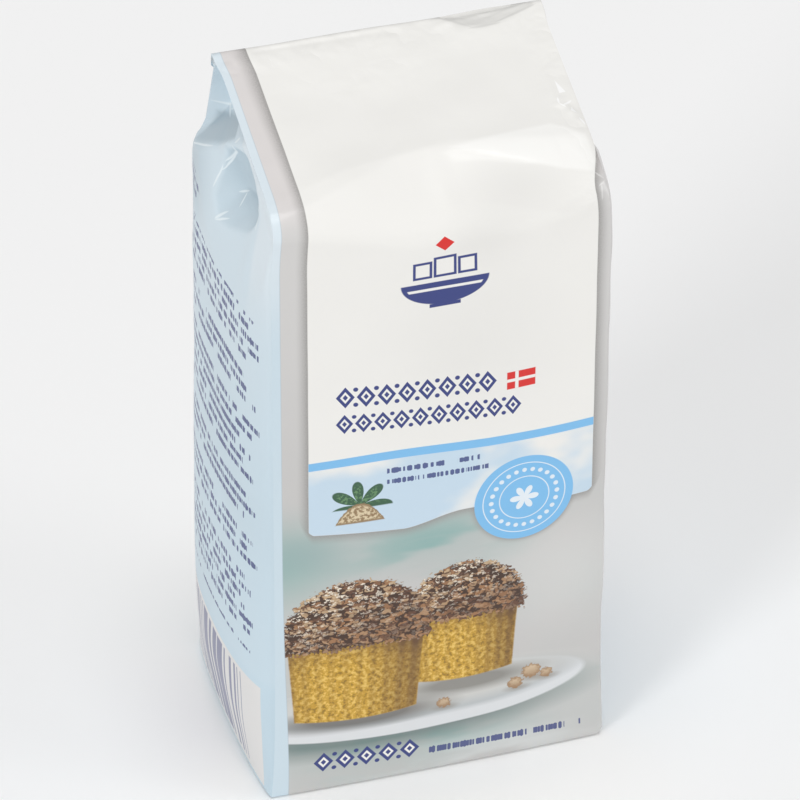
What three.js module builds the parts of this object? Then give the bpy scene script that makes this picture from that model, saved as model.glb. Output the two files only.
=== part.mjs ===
// A block-bottomed film pouch of brown sugar, folded shut at the top.
//
// The film is one tube with four panels: the front, the right gusset, the back and the left gusset. Below the
// shoulder it is filled out by the sugar. Above it the front leans back to a ridge, the gussets tuck in between
// front and back, and the sealed end of the tube is folded down over the back.
//
// Millimetres. X runs across the front, Y from the front to the back, Z up. The origin is the middle of the base.
import * as THREE from "three";

// Driving dimensions.
const BASE_WIDTH = 76.6; // of the block bottom, left to right
const DEPTH = 57.6; // of the block bottom, front to back
const BODY_WIDTH = 74; // between the corners half way up
const TOP_WIDTH = 71.2; // between the creases of the leaning top
const FRONT_SHOULDER = 149.5; // height at which the front starts to lean back
const REAR_SHOULDER = 134.5; // height at which the back starts to lean forward
const RIDGE_HEIGHT = 165; // top of the fold
const RIDGE_BACK = 18; // how far the ridge lies behind the middle
const FLAP_LENGTH = 25; // of the sealed end, from the ridge down the back
const FLAP_THICKNESS = 1.3; // four folded layers of film
const FLAP_GAP = 0.5; // air between the flap and the back
const FLAP_STEP_IN = 1.2; // the flap's ends lie this far inside the ridge's ends
const RIDGE_EAR = 0.5; // how far the ridge's ends stand out past the creases

// Roundings.
const BASE_RADIUS = 0.9; // of the bottom edge
const REAR_SHOULDER_RADIUS = 9;
const RIDGE_RADIUS = 1.9;

// The front's shoulder is a rounding that is tight at the left corner and opens to its full size towards the right.
const SHOULDER_ON_TOP = 14.5; // how far it reaches up the leaning top
const SHOULDER_ON_FRONT = 11; // how far it reaches down the front
const SHOULDER_LEFT_SHARE = 0.3; // its size at the left corner
const SHOULDER_RIGHT_SHARE = 0.75; // its size at the right corner
const SHOULDER_PEAK = 0.56; // where across the front it is full
const SHOULDER_DROP = 2.6; // the slack film's drop under the corner of front and top

// How far the sugar pushes each panel out of the flat.
const FRONT_BULGE = 1.9;
const BACK_BULGE = 2.2;
const LEFT_BULGE = { low: 5.9, high: 3.9, steepness: 0.6 };
const RIGHT_BULGE = { low: 3.5, high: 3.1, steepness: 0.8 };
const SAG_FROM = 40; // the sides' bulge goes from its low value here
const SAG_TO = 135; // to its high value here
const BASE_BULGE_SHARE = 0.28; // the part of a panel's bulge that is left at the base
const BULGE_RISE = 26; // height over which it swells to the full amount

// Each gusset is pushed in above a crease that rises from the rear shoulder to the front's leaning edge. The left
// one is dented below that crease as well, over a triangle between the leaning edge and a point on the side.
const GUSSET_WIDTH = 59; // of the film between a front crease and a rear crease
const LEFT_CREASE_FRONT = new THREE.Vector2(-9, 155.5);
const RIGHT_CREASE_FRONT = new THREE.Vector2(-22, 151.8);
const CREASE_REAR = new THREE.Vector2(28.5, 137);
const PUSH_IN_SLOPE = 0.66;
const DENT_CORNER = new THREE.Vector2(-27.5, 146);
const DENT_POINT = new THREE.Vector2(8, 129);
const DENT_DEPTH = 1.3;
const DENT_MIDDLE = new THREE.Vector2(-9, 144);
const DENT_REACH = 10;
const SLOT_CLOSES = 0.8; // share of the leaning top at which the gusset's two halves start to meet
const SLOT_END = 0.97;

// Steps of the faceted surface.
const FRONT_STEPS = 22;
const GUSSET_STEPS = 20;
const BASE_STEPS = 3;
const BODY_STEPS = 11;
const UPPER_STEPS = 28;
const RIDGE_STEPS = 6;
const FLAP_STEPS = 6;

const HALF_DEPTH = DEPTH / 2;
// The sides and the front and back don't bulge alike, so the pouch is moved to stand with its middle on the origin.
const MOVED = new THREE.Vector3((LEFT_BULGE.low - RIGHT_BULGE.low) / 2, (FRONT_BULGE - BACK_BULGE) / 2, 0);
const SAME_POINT = 1e-3;
const { clamp, lerp, smoothstep } = THREE.MathUtils;

// Two straight legs in the Y-Z plane whose corner is rounded.
class RoundedCorner {
  constructor(from, corner, to, radius) {
    const before = from.clone().sub(corner).normalize();
    const after = to.clone().sub(corner).normalize();
    const halfAngle = before.angleTo(after) / 2;
    const setBack = radius / Math.tan(halfAngle);
    const enter = corner.clone().addScaledVector(before, setBack);
    const leave = corner.clone().addScaledVector(after, setBack);
    const inward = before.clone().add(after).normalize();
    const centre = corner.clone().addScaledVector(inward, radius / Math.sin(halfAngle));
    const startAngle = enter.clone().sub(centre).angle();
    const endAngle = leave.clone().sub(centre).angle();
    const clockwise = before.cross(after) > 0;
    this.path = new THREE.CurvePath();
    this.path.add(new THREE.LineCurve(from, enter));
    this.path.add(new THREE.EllipseCurve(centre.x, centre.y, radius, radius, startAngle, endAngle, clockwise));
    this.path.add(new THREE.LineCurve(leave, to));
    this.length = this.path.getLength();
  }

  at(distance) {
    return this.path.getPointAt(clamp(distance / this.length, 0, 1));
  }
}

// The film's two profiles in the Y-Z plane. The front one runs up the front, over the ridge and down the outside of
// the flap. The back one runs up the back to just under the ridge, and down again on the inside of the flap.
const frontShoulder = new THREE.Vector2(-HALF_DEPTH, FRONT_SHOULDER);
const rearShoulder = new THREE.Vector2(HALF_DEPTH, REAR_SHOULDER);
const ridge = new THREE.Vector2(RIDGE_BACK, RIDGE_HEIGHT);
const ridgeToRear = rearShoulder.clone().sub(ridge);
const flapTilt = Math.asin((FLAP_GAP + FLAP_THICKNESS) / ridgeToRear.length());
const flapDown = ridgeToRear.clone().normalize().rotateAround(new THREE.Vector2(), flapTilt);
const flapOut = new THREE.Vector2(-flapDown.y, flapDown.x);
const flapEnd = ridge.clone().addScaledVector(flapDown, FLAP_LENGTH);
const underRidge = ridge.clone().addScaledVector(flapOut, -FLAP_THICKNESS - FLAP_GAP);
underRidge.addScaledVector(flapDown, FLAP_THICKNESS);
const flapInner = underRidge.clone().addScaledVector(flapOut, FLAP_GAP);
const flapInnerEnd = flapEnd.clone().addScaledVector(flapOut, -FLAP_THICKNESS);

const leaningFront = new RoundedCorner(frontShoulder, ridge, flapEnd, RIDGE_RADIUS);
const backProfile = new RoundedCorner(new THREE.Vector2(HALF_DEPTH, 0), rearShoulder, underRidge, REAR_SHOULDER_RADIUS);

// Lengths along the front profile at which the ridge's rounding starts and ends.
const RIDGE_FOLD_LENGTH = RIDGE_RADIUS * 2.4;
const ridgeStart = FRONT_SHOULDER + leaningFront.length - FLAP_LENGTH - RIDGE_FOLD_LENGTH / 2 + 0.6;
const ridgeEnd = ridgeStart + RIDGE_FOLD_LENGTH;
const frontEnd = FRONT_SHOULDER + leaningFront.length;

// The size of the shoulder's rounding across the front, t from 0 at the left to 1 at the right.
function shoulderShare(t) {
  if (t < SHOULDER_PEAK) return lerp(SHOULDER_LEFT_SHARE, 1, smoothstep(t, 0.02, SHOULDER_PEAK));
  return lerp(1, SHOULDER_RIGHT_SHARE, smoothstep(t, SHOULDER_PEAK, 1));
}

// A point (y, z) of the front panel at a distance up its profile.
function frontPoint(distance, t) {
  const share = shoulderShare(t);
  const below = SHOULDER_ON_FRONT * share;
  const above = SHOULDER_ON_TOP * share;
  const along = (distance - FRONT_SHOULDER + below) / (below + above);
  if (along <= 0) return new THREE.Vector2(-HALF_DEPTH, distance);
  if (along >= 1) return leaningFront.at(distance - FRONT_SHOULDER);
  const control = frontShoulder.clone().add(new THREE.Vector2(0, -SHOULDER_DROP * share));
  const rounding = new THREE.QuadraticBezierCurve(
    new THREE.Vector2(-HALF_DEPTH, FRONT_SHOULDER - below),
    control,
    leaningFront.at(above),
  );
  return rounding.getPoint(along);
}

// The unit normal of a profile, given as a function of the distance along it, turned to its left.
function leftNormal(profile, distance) {
  const along = profile(distance + 0.5).sub(profile(distance - 0.5)).normalize();
  return new THREE.Vector2(-along.y, along.x);
}

// The swelling of a panel at height z, from its share at the base to the full amount.
function swelling(z) {
  return lerp(BASE_BULGE_SHARE, 1, Math.sin((Math.PI / 2) * clamp(z / BULGE_RISE, 0, 1)));
}

// The bulge across a panel, for t from 0 to 1: zero at the creases and broad in the middle.
function crown(t, steepness) {
  return Math.pow(Math.max(0, 1 - Math.pow(Math.abs(2 * t - 1), 2.2)), steepness);
}

// Spaces steps more closely towards both creases.
function towardsCreases(share) {
  return lerp(share, (1 - Math.cos(Math.PI * share)) / 2, 0.7);
}

// How far a point lies to the left of the line between two others.
function distanceLeft(point, from, to) {
  const line = to.clone().sub(from);
  return line.cross(point.clone().sub(from)) / line.length();
}

// How far a gusset stands out from the plane of its creases at the point (y, z), t of the way from the front.
function gussetOffset(sign, point, t, tuckDepth, swell) {
  const { low, high, steepness } = sign < 0 ? LEFT_BULGE : RIGHT_BULGE;
  let offset = lerp(low, high, smoothstep(point.y, SAG_FROM, SAG_TO)) * swell * crown(t, steepness);
  const creaseFront = sign < 0 ? LEFT_CREASE_FRONT : RIGHT_CREASE_FRONT;
  const aboveCrease = distanceLeft(point, CREASE_REAR, creaseFront) * -1;
  if (sign < 0) {
    const fall = high / distanceLeft(DENT_POINT, LEFT_CREASE_FRONT, DENT_CORNER);
    const chord = fall * distanceLeft(point, LEFT_CREASE_FRONT, DENT_CORNER);
    const hollow = DENT_DEPTH * Math.exp(-((point.distanceTo(DENT_MIDDLE) / DENT_REACH) ** 2));
    offset = Math.min(offset, Math.max(chord, 0)) - hollow * crown(t, 1);
  }
  const pushedIn = -PUSH_IN_SLOPE * aboveCrease;
  offset = Math.min(offset, pushedIn + 0.4);
  return Math.max(offset, -tuckDepth * (1 - Math.abs(2 * t - 1)));
}

// One ring of the film, as points in order round the tube: front, right gusset, back, left gusset.
function ringOf({ halfWidth, front, back, offset }) {
  const points = [];
  const spread = (steps) => Array.from({ length: steps }, (_, i) => towardsCreases(i / steps));
  const gusset = (sign, t) => {
    const place = front(sign < 0 ? 0 : 1).clone().lerp(back(sign < 0 ? 1 : 0), t);
    return [sign * (halfWidth + offset(sign, place, t)), place.x, place.y];
  };
  for (const t of spread(FRONT_STEPS)) {
    const place = front(t);
    points.push([lerp(-halfWidth, halfWidth, t), place.x, place.y]);
  }
  for (const t of spread(GUSSET_STEPS)) points.push(gusset(1, t));
  for (const t of spread(FRONT_STEPS)) {
    const place = back(t);
    points.push([lerp(halfWidth, -halfWidth, t), place.x, place.y]);
  }
  for (const t of spread(GUSSET_STEPS)) points.push(gusset(-1, 1 - t));
  return points;
}

// The filled body, from the flat base up to the rear shoulder.
function bodyRing(z, inset) {
  const swell = swelling(z);
  const flare = (BASE_WIDTH - BODY_WIDTH) * Math.exp(-z / 12);
  return ringOf({
    halfWidth: (BODY_WIDTH + flare) / 2 - inset,
    front: (t) => new THREE.Vector2(-HALF_DEPTH + inset - FRONT_BULGE * swell * crown(t, 1), z),
    back: (t) => new THREE.Vector2(HALF_DEPTH - inset + BACK_BULGE * swell * crown(t, 1), z),
    offset: (sign, place, t) => gussetOffset(sign, place, t, 0, swell),
  });
}

// The shoulder and the leaning top, where the sugar ends and the gussets fold in. q runs from 0 at the rear
// shoulder's height to 1 at the ridge.
function upperRing(q) {
  const frontAt = lerp(REAR_SHOULDER, ridgeStart, q);
  const backAt = lerp(REAR_SHOULDER, backProfile.length, q);
  const frontBulge = FRONT_BULGE * (1 - smoothstep(q, 0.15, 0.55));
  const backBulge = BACK_BULGE * (1 - smoothstep(q, 0, 0.5));
  const chord = frontPoint(frontAt, 0).distanceTo(backProfile.at(backAt));
  const tuckDepth = Math.sqrt(Math.max(0, (GUSSET_WIDTH / 2) ** 2 - (chord / 2) ** 2));
  const open = 1 - smoothstep(q, SLOT_CLOSES, SLOT_END);
  const closed = q > SLOT_END;
  return ringOf({
    halfWidth: lerp(BODY_WIDTH, TOP_WIDTH, smoothstep(q, 0.05, 0.4)) / 2 + RIDGE_EAR * smoothstep(q, 0.9, 1),
    front: (t) => {
      const normal = leftNormal((distance) => frontPoint(distance, t), frontAt);
      return frontPoint(frontAt, t).addScaledVector(normal, frontBulge * crown(t, 1));
    },
    back: (t) => {
      const normal = leftNormal((distance) => backProfile.at(distance), backAt);
      return backProfile.at(backAt).addScaledVector(normal, -backBulge * crown(t, 1));
    },
    offset: (sign, place, t) => (closed ? 0 : gussetOffset(sign, place, t, tuckDepth * open, 1)),
  });
}

// The flattened tube, over the ridge and down the flap, at a distance along the front profile.
function flapRing(distance) {
  const share = (distance - ridgeStart) / (frontEnd - ridgeStart);
  const stepIn = FLAP_STEP_IN * smoothstep(distance, ridgeStart + RIDGE_FOLD_LENGTH / 2, ridgeEnd + 1.5);
  return ringOf({
    halfWidth: TOP_WIDTH / 2 + RIDGE_EAR - stepIn,
    front: () => leaningFront.at(distance - FRONT_SHOULDER),
    back: () => flapInner.clone().lerp(flapInnerEnd, share),
    offset: () => 0,
  });
}

function filmRings() {
  const rings = [];
  for (let i = 0; i <= BASE_STEPS; i++) {
    const turn = ((Math.PI / 2) * i) / BASE_STEPS;
    rings.push(bodyRing(BASE_RADIUS * (1 - Math.cos(turn)), BASE_RADIUS * (1 - Math.sin(turn))));
  }
  for (let i = 1; i < BODY_STEPS; i++) rings.push(bodyRing(lerp(BASE_RADIUS, REAR_SHOULDER, i / BODY_STEPS), 0));
  for (let i = 0; i <= UPPER_STEPS; i++) rings.push(upperRing(i / UPPER_STEPS));
  for (let i = 1; i <= RIDGE_STEPS; i++) rings.push(flapRing(lerp(ridgeStart, ridgeEnd, i / RIDGE_STEPS)));
  for (let i = 1; i <= FLAP_STEPS; i++) rings.push(flapRing(lerp(ridgeEnd, frontEnd, i / FLAP_STEPS)));
  return rings;
}

// Joins the rings into one closed surface with shared vertices, capped by the base and by the flap's end.
function closedSurface(rings) {
  const positions = [];
  const known = new Map();
  const indices = [];
  const vertex = (point) => {
    const key = point.map((value) => Math.round(value / SAME_POINT)).join();
    if (!known.has(key)) {
      known.set(key, positions.length / 3);
      positions.push(...point);
    }
    return known.get(key);
  };
  const triangle = (a, b, c) => {
    if (a !== b && b !== c && c !== a) indices.push(a, b, c);
  };
  const numbered = rings.map((ring) => ring.map(vertex));
  const count = rings[0].length;
  for (let row = 0; row + 1 < numbered.length; row++) {
    for (let i = 0; i < count; i++) {
      const next = (i + 1) % count;
      triangle(numbered[row][i], numbered[row][next], numbered[row + 1][next]);
      triangle(numbered[row][i], numbered[row + 1][next], numbered[row + 1][i]);
    }
  }
  const middle = vertex([0, 0, 0]);
  numbered[0].forEach((from, i) => triangle(middle, numbered[0][(i + 1) % count], from));
  cap(numbered[numbered.length - 1], triangle);
  const geometry = new THREE.BufferGeometry();
  geometry.setAttribute("position", new THREE.Float32BufferAttribute(positions, 3));
  geometry.setIndex(indices);
  geometry.translate(MOVED.x, MOVED.y, MOVED.z);
  geometry.computeVertexNormals();
  return geometry;
}

// Closes the end of the flap, a strip between the ring's front row and its back row.
function cap(ring, triangle) {
  const firstSide = ring.slice(FRONT_STEPS, FRONT_STEPS + GUSSET_STEPS + 1);
  const secondSide = ring.slice(2 * FRONT_STEPS + GUSSET_STEPS).concat(ring[0]);
  const backRow = ring.slice(FRONT_STEPS + GUSSET_STEPS, 2 * FRONT_STEPS + GUSSET_STEPS + 1).reverse();
  for (let i = 0; i < FRONT_STEPS; i++) {
    triangle(ring[i], ring[i + 1], backRow[i + 1]);
    triangle(ring[i], backRow[i + 1], backRow[i]);
  }
  for (let i = 1; i + 1 < firstSide.length; i++) triangle(firstSide[0], firstSide[i], firstSide[i + 1]);
  for (let i = 1; i + 1 < secondSide.length; i++) triangle(secondSide[0], secondSide[i], secondSide[i + 1]);
}

// The glossy printed film. The white of the label is its main colour.
function filmMaterial() {
  return new THREE.MeshStandardMaterial({ color: 0xeeece7, roughness: 0.38, metalness: 0 });
}

function pouch() {
  const mesh = new THREE.Mesh(closedSurface(filmRings()), filmMaterial());
  mesh.name = "pouch";
  return mesh;
}

const sugarPouch = new THREE.Group();
sugarPouch.add(pouch());

export default sugarPouch;
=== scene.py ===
"""A shut film pouch of brown sugar: its printed, folded film, its floor, light and camera.

The film is modelled from one flat sheet. The sheet is rolled into a tube with four panels, the front, the
right gusset, the back and the left gusset, and each of its rows is put where it lies on the filled pouch.
The print is drawn by shader nodes in the film's own millimetres, which its UV map holds.
"""

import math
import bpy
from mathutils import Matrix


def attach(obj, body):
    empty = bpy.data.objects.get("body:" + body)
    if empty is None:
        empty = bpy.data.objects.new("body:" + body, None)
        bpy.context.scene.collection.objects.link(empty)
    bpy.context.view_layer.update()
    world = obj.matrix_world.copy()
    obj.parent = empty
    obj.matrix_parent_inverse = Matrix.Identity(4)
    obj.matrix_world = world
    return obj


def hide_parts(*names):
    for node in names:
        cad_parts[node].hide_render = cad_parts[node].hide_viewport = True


bl_info = {
    "name": "Sugar pouch",
    "version": (1, 0, 0),
    "blender": (4, 2, 0),
    "location": "3D View > Sidebar > Pouch",
    "description": "Models a block-bottomed film pouch of sugar with its print, floor, light and camera",
    "category": "Add Mesh",
}

import bpy
import numpy as np
from bpy.props import FloatProperty, FloatVectorProperty, PointerProperty
from mathutils import Quaternion, Vector

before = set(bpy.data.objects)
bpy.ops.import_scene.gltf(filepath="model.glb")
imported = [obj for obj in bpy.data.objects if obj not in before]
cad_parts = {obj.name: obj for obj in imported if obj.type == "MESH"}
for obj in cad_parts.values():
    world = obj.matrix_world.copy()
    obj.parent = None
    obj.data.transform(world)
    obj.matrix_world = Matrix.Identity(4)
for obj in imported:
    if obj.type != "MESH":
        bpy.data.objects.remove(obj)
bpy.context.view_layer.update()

MM = 0.001

# Roundings and small sizes of the film's shape.
REAR_SHOULDER_RADIUS = 9 * MM
RIDGE_RADIUS = 1.9 * MM
RIDGE_FOLD_LENGTH = RIDGE_RADIUS * 2.4
RIDGE_EAR = 0.5 * MM
BASE_RADIUS = 0.9 * MM
RIGHT_FOOT_RADIUS = 3 * MM
FLAP_STEP_IN = 1.2 * MM
FLAP_GAP = 0.5 * MM
# How far the ridge's fold is moved along the film, and the steps in which the flap's end closes.
RIDGE_SHIFT = 0.6 * MM
END_STEP = 0.3 * MM
# The width by which the base is wider than the body fades over this height.
FLARE_HEIGHT = 12 * MM
# The step along a profile with which its direction is measured.
PROFILE_STEP = 0.5 * MM

# The front's shoulder is a rounding that is tight at the left corner and full right of the middle.
SHOULDER_ON_TOP = 14.5 * MM
SHOULDER_ON_FRONT = 11 * MM
SHOULDER_LEFT_SHARE = 0.3
SHOULDER_RIGHT_SHARE = 0.75
SHOULDER_START = 0.02
SHOULDER_PEAK = 0.56
SHOULDER_DROP = 2.6 * MM

# The sugar's push on the panels, and the height over which it grows to its full amount.
CROWN_BREADTH = 2.2
BASE_BULGE_SHARE = 0.28
BULGE_RISE = 26 * MM
SAG_FROM = 40 * MM
SAG_TO = 135 * MM
LEFT_STEEPNESS = 0.6
RIGHT_STEEPNESS = 0.8
# From the rear shoulder's height, 0, to the ridge, 1: where the bulges end, the top narrows and its ears
# grow.
FRONT_FLATTENS = (0.15, 0.55)
BACK_FLATTENS = (0, 0.5)
TOP_NARROWS = (0.05, 0.4)
EARS_GROW = (0.9, 1)

# The push-in of the gussets, as points (Y, Z) on the side.
CREASE_REAR = np.array((28.5, 137)) * MM
LEFT_CREASE_FRONT = np.array((-9, 155.5)) * MM
RIGHT_CREASE_FRONT = np.array((-22, 151.8)) * MM
RIGHT_PUSH_SLOPE = 0.66
RIGHT_PUSH_START = 0.4 * MM
LEFT_PUSH_SLOPE = 0.78
LEFT_PUSH_START = 1.7 * MM
DENT_CORNER = np.array((-27.5, 146)) * MM
DENT_POINT = np.array((8, 129)) * MM
DENT_MIDDLE = np.array((-9, 144)) * MM
DENT_DEPTH = 1.3 * MM
DENT_REACH = 10 * MM
SLOT_CLOSES = 0.8
SLOT_END = 0.97

# How the flat sheet is divided into columns across each panel and rows along the film. Columns crowd at
# the creases.
CREASE_CROWDING = 0.7
PANEL_COLUMNS = 88
GUSSET_COLUMNS = 60
BASE_ROWS = 12
FOOT_ROWS = 5
BODY_ROWS = 100
UPPER_ROWS = 106
RIDGE_ROWS = 12
FLAP_ROWS = 26
END_ROWS = 2

# The print is placed in millimetres of flat film, measured round the tube from the front left crease and
# up from the bottom edge.
FRONT_FILM = 74
GUSSET_FILM = 59
PANEL_STARTS = (0, FRONT_FILM, FRONT_FILM + GUSSET_FILM, 2 * FRONT_FILM + GUSSET_FILM)
FILM_AROUND = 2 * FRONT_FILM + 2 * GUSSET_FILM
BASE_FILM = 30
FILM_UP = 240

CAMERA_AZIMUTH = math.radians(17.39)
CAMERA_ELEVATION = math.radians(35.99)
CAMERA_ROLL = math.radians(0.2)
CAMERA_DISTANCE = 1.2958
CAMERA_TARGET = Vector((1.07, -0.15, 79.75)) * MM
CAMERA_LENS = 270


def length_property(name, description, millimetres):
    return FloatProperty(name=name, description=description, default=millimetres * MM, unit="LENGTH")


def share_property(name, description, default):
    return FloatProperty(name=name, description=description, default=default, min=0, max=1, subtype="FACTOR")


class PouchSizes(bpy.types.PropertyGroup):
    """Sizes of the filled and folded pouch."""

    base_width: length_property("Base width", "Block bottom, left to right", 76.6)
    depth: length_property("Depth", "Block bottom, front to back", 57.6)
    body_width: length_property("Body width", "Between the corners half way up", 74)
    top_width: length_property("Top width", "Between the creases of the leaning top", 71.2)
    front_shoulder: length_property("Front shoulder", "Height where the front leans back", 149.5)
    rear_shoulder: length_property("Rear shoulder", "Height where the back leans forward", 134.5)
    ridge_height: length_property("Ridge height", "Top of the fold", 165)
    ridge_back: length_property("Ridge back", "How far the ridge lies behind the middle", 18)
    flap_length: length_property("Flap length", "Sealed end, from the ridge down the back", 25)
    flap_thickness: length_property("Flap thickness", "Four folded layers of film", 1.3)
    gusset_width: length_property("Gusset width", "Film between a front and a rear crease", GUSSET_FILM)
    front_bulge: length_property("Front bulge", "Push of the sugar", 1.9)
    back_bulge: length_property("Back bulge", "Push of the sugar", 2.2)
    left_bulge_low: length_property("Left bulge, low", "Push of the sugar low on the left", 5.9)
    left_bulge_high: length_property("Left bulge, high", "Push of the sugar high on the left", 3.9)
    right_bulge_low: length_property("Right bulge, low", "Push of the sugar low on the right", 3.5)
    right_bulge_high: length_property("Right bulge, high", "Push of the sugar high on the right", 3.1)


def colour_property(name, description, default):
    return FloatVectorProperty(
        name=name, description=description, default=default, subtype="COLOR", size=3, min=0, max=1
    )


class PrintColours(bpy.types.PropertyGroup):
    """Colours of the film's print, as linear values."""

    label: colour_property("Label", "White of the label", (0.87, 0.86, 0.83))
    grey: colour_property("Grey", "Pale grey ground behind the label", (0.64, 0.63, 0.62))
    shadow: colour_property("Shadow", "Printed shadow round the label", (0.3, 0.29, 0.28))
    side: colour_property("Side", "Light blue of the sides", (0.55, 0.69, 0.78))
    sky: colour_property("Sky", "Sky blue of the stripe and the seal", (0.21, 0.52, 0.85))
    cloud: colour_property("Cloud", "Pale blue of the panel under the stripe", (0.57, 0.71, 0.83))
    navy: colour_property("Navy", "Dark blue of the ornaments", (0.028, 0.045, 0.21))
    red: colour_property("Red", "Red of the small marks", (0.7, 0.014, 0.01))
    teal: colour_property("Teal", "Teal wash of the ground", (0.24, 0.43, 0.41))
    leaf: colour_property("Leaf", "Green of the leaves", (0.035, 0.11, 0.055))
    crumb: colour_property("Crumb", "Golden crumb of the buns", (0.6, 0.345, 0.03))
    crust: colour_property("Crust", "Brown sugar crust of the buns", (0.12, 0.05, 0.025))
    plate: colour_property("Plate", "White of the plate", (0.72, 0.74, 0.76))


class FilmFinish(bpy.types.PropertyGroup):
    """Gloss of the laminated film."""

    roughness: share_property("Roughness", "Of the film", 0.48)
    coat: share_property("Coat", "Weight of the clear laminate", 0.24)
    coat_roughness: share_property("Coat roughness", "Of the laminate", 0.1)


def smoothstep(value, low, high):
    share = np.clip((value - low) / (high - low), 0, 1)
    return share * share * (3 - 2 * share)


def lerp(low, high, share):
    return low + (high - low) * share


def darker(colour, share):
    return tuple(share * v for v in colour)


def greyer(colour, level, share):
    """A colour part of the way to a level of grey."""
    return tuple(lerp(v, level, share) for v in colour)


def crown(t, steepness):
    """The bulge across a panel: zero at both creases and broad in the middle."""
    return np.maximum(0, 1 - np.abs(2 * t - 1) ** CROWN_BREADTH) ** steepness


def towards_creases(share):
    """Spaces steps more closely towards both creases."""
    return lerp(share, (1 - np.cos(np.pi * share)) / 2, CREASE_CROWDING)


def unit(vector):
    return vector / np.linalg.norm(vector)


def cross(a, b):
    return a[..., 0] * b[..., 1] - a[..., 1] * b[..., 0]


def distance_left(points, start, end):
    """How far points lie to the left of the line from start to end."""
    return cross(unit(end - start), points - start)


class RoundedCorner:
    """Two straight legs in the Y-Z plane whose corner is rounded."""

    def __init__(self, start, corner, end, radius):
        before = unit(start - corner)
        after = unit(end - corner)
        half = math.acos(float(np.dot(before, after))) / 2
        set_back = radius / math.tan(half)
        self.start = start
        self.leave = corner + after * set_back
        self.after = after
        self.before = before
        self.centre = corner + unit(before + after) * radius / math.sin(half)
        self.spoke = corner + before * set_back - self.centre
        self.radius = radius
        self.first = float(np.linalg.norm(corner - start)) - set_back
        self.turn = radius * (math.pi - 2 * half)
        self.length = self.first + self.turn + float(np.linalg.norm(end - self.leave))
        self.sense = -1 if cross(before, after) > 0 else 1

    def at(self, distance):
        d = np.clip(np.atleast_1d(distance), 0, self.length)[..., None]
        angle = self.sense * np.clip(d - self.first, 0, self.turn) / self.radius
        x, y = self.spoke
        c, s = np.cos(angle), np.sin(angle)
        on_arc = self.centre + np.concatenate([x * c - y * s, x * s + y * c], -1)
        on_first = self.start - self.before * d
        on_last = self.leave + self.after * (d - self.first - self.turn)
        return np.where(d < self.first, on_first, np.where(d < self.first + self.turn, on_arc, on_last))


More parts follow.
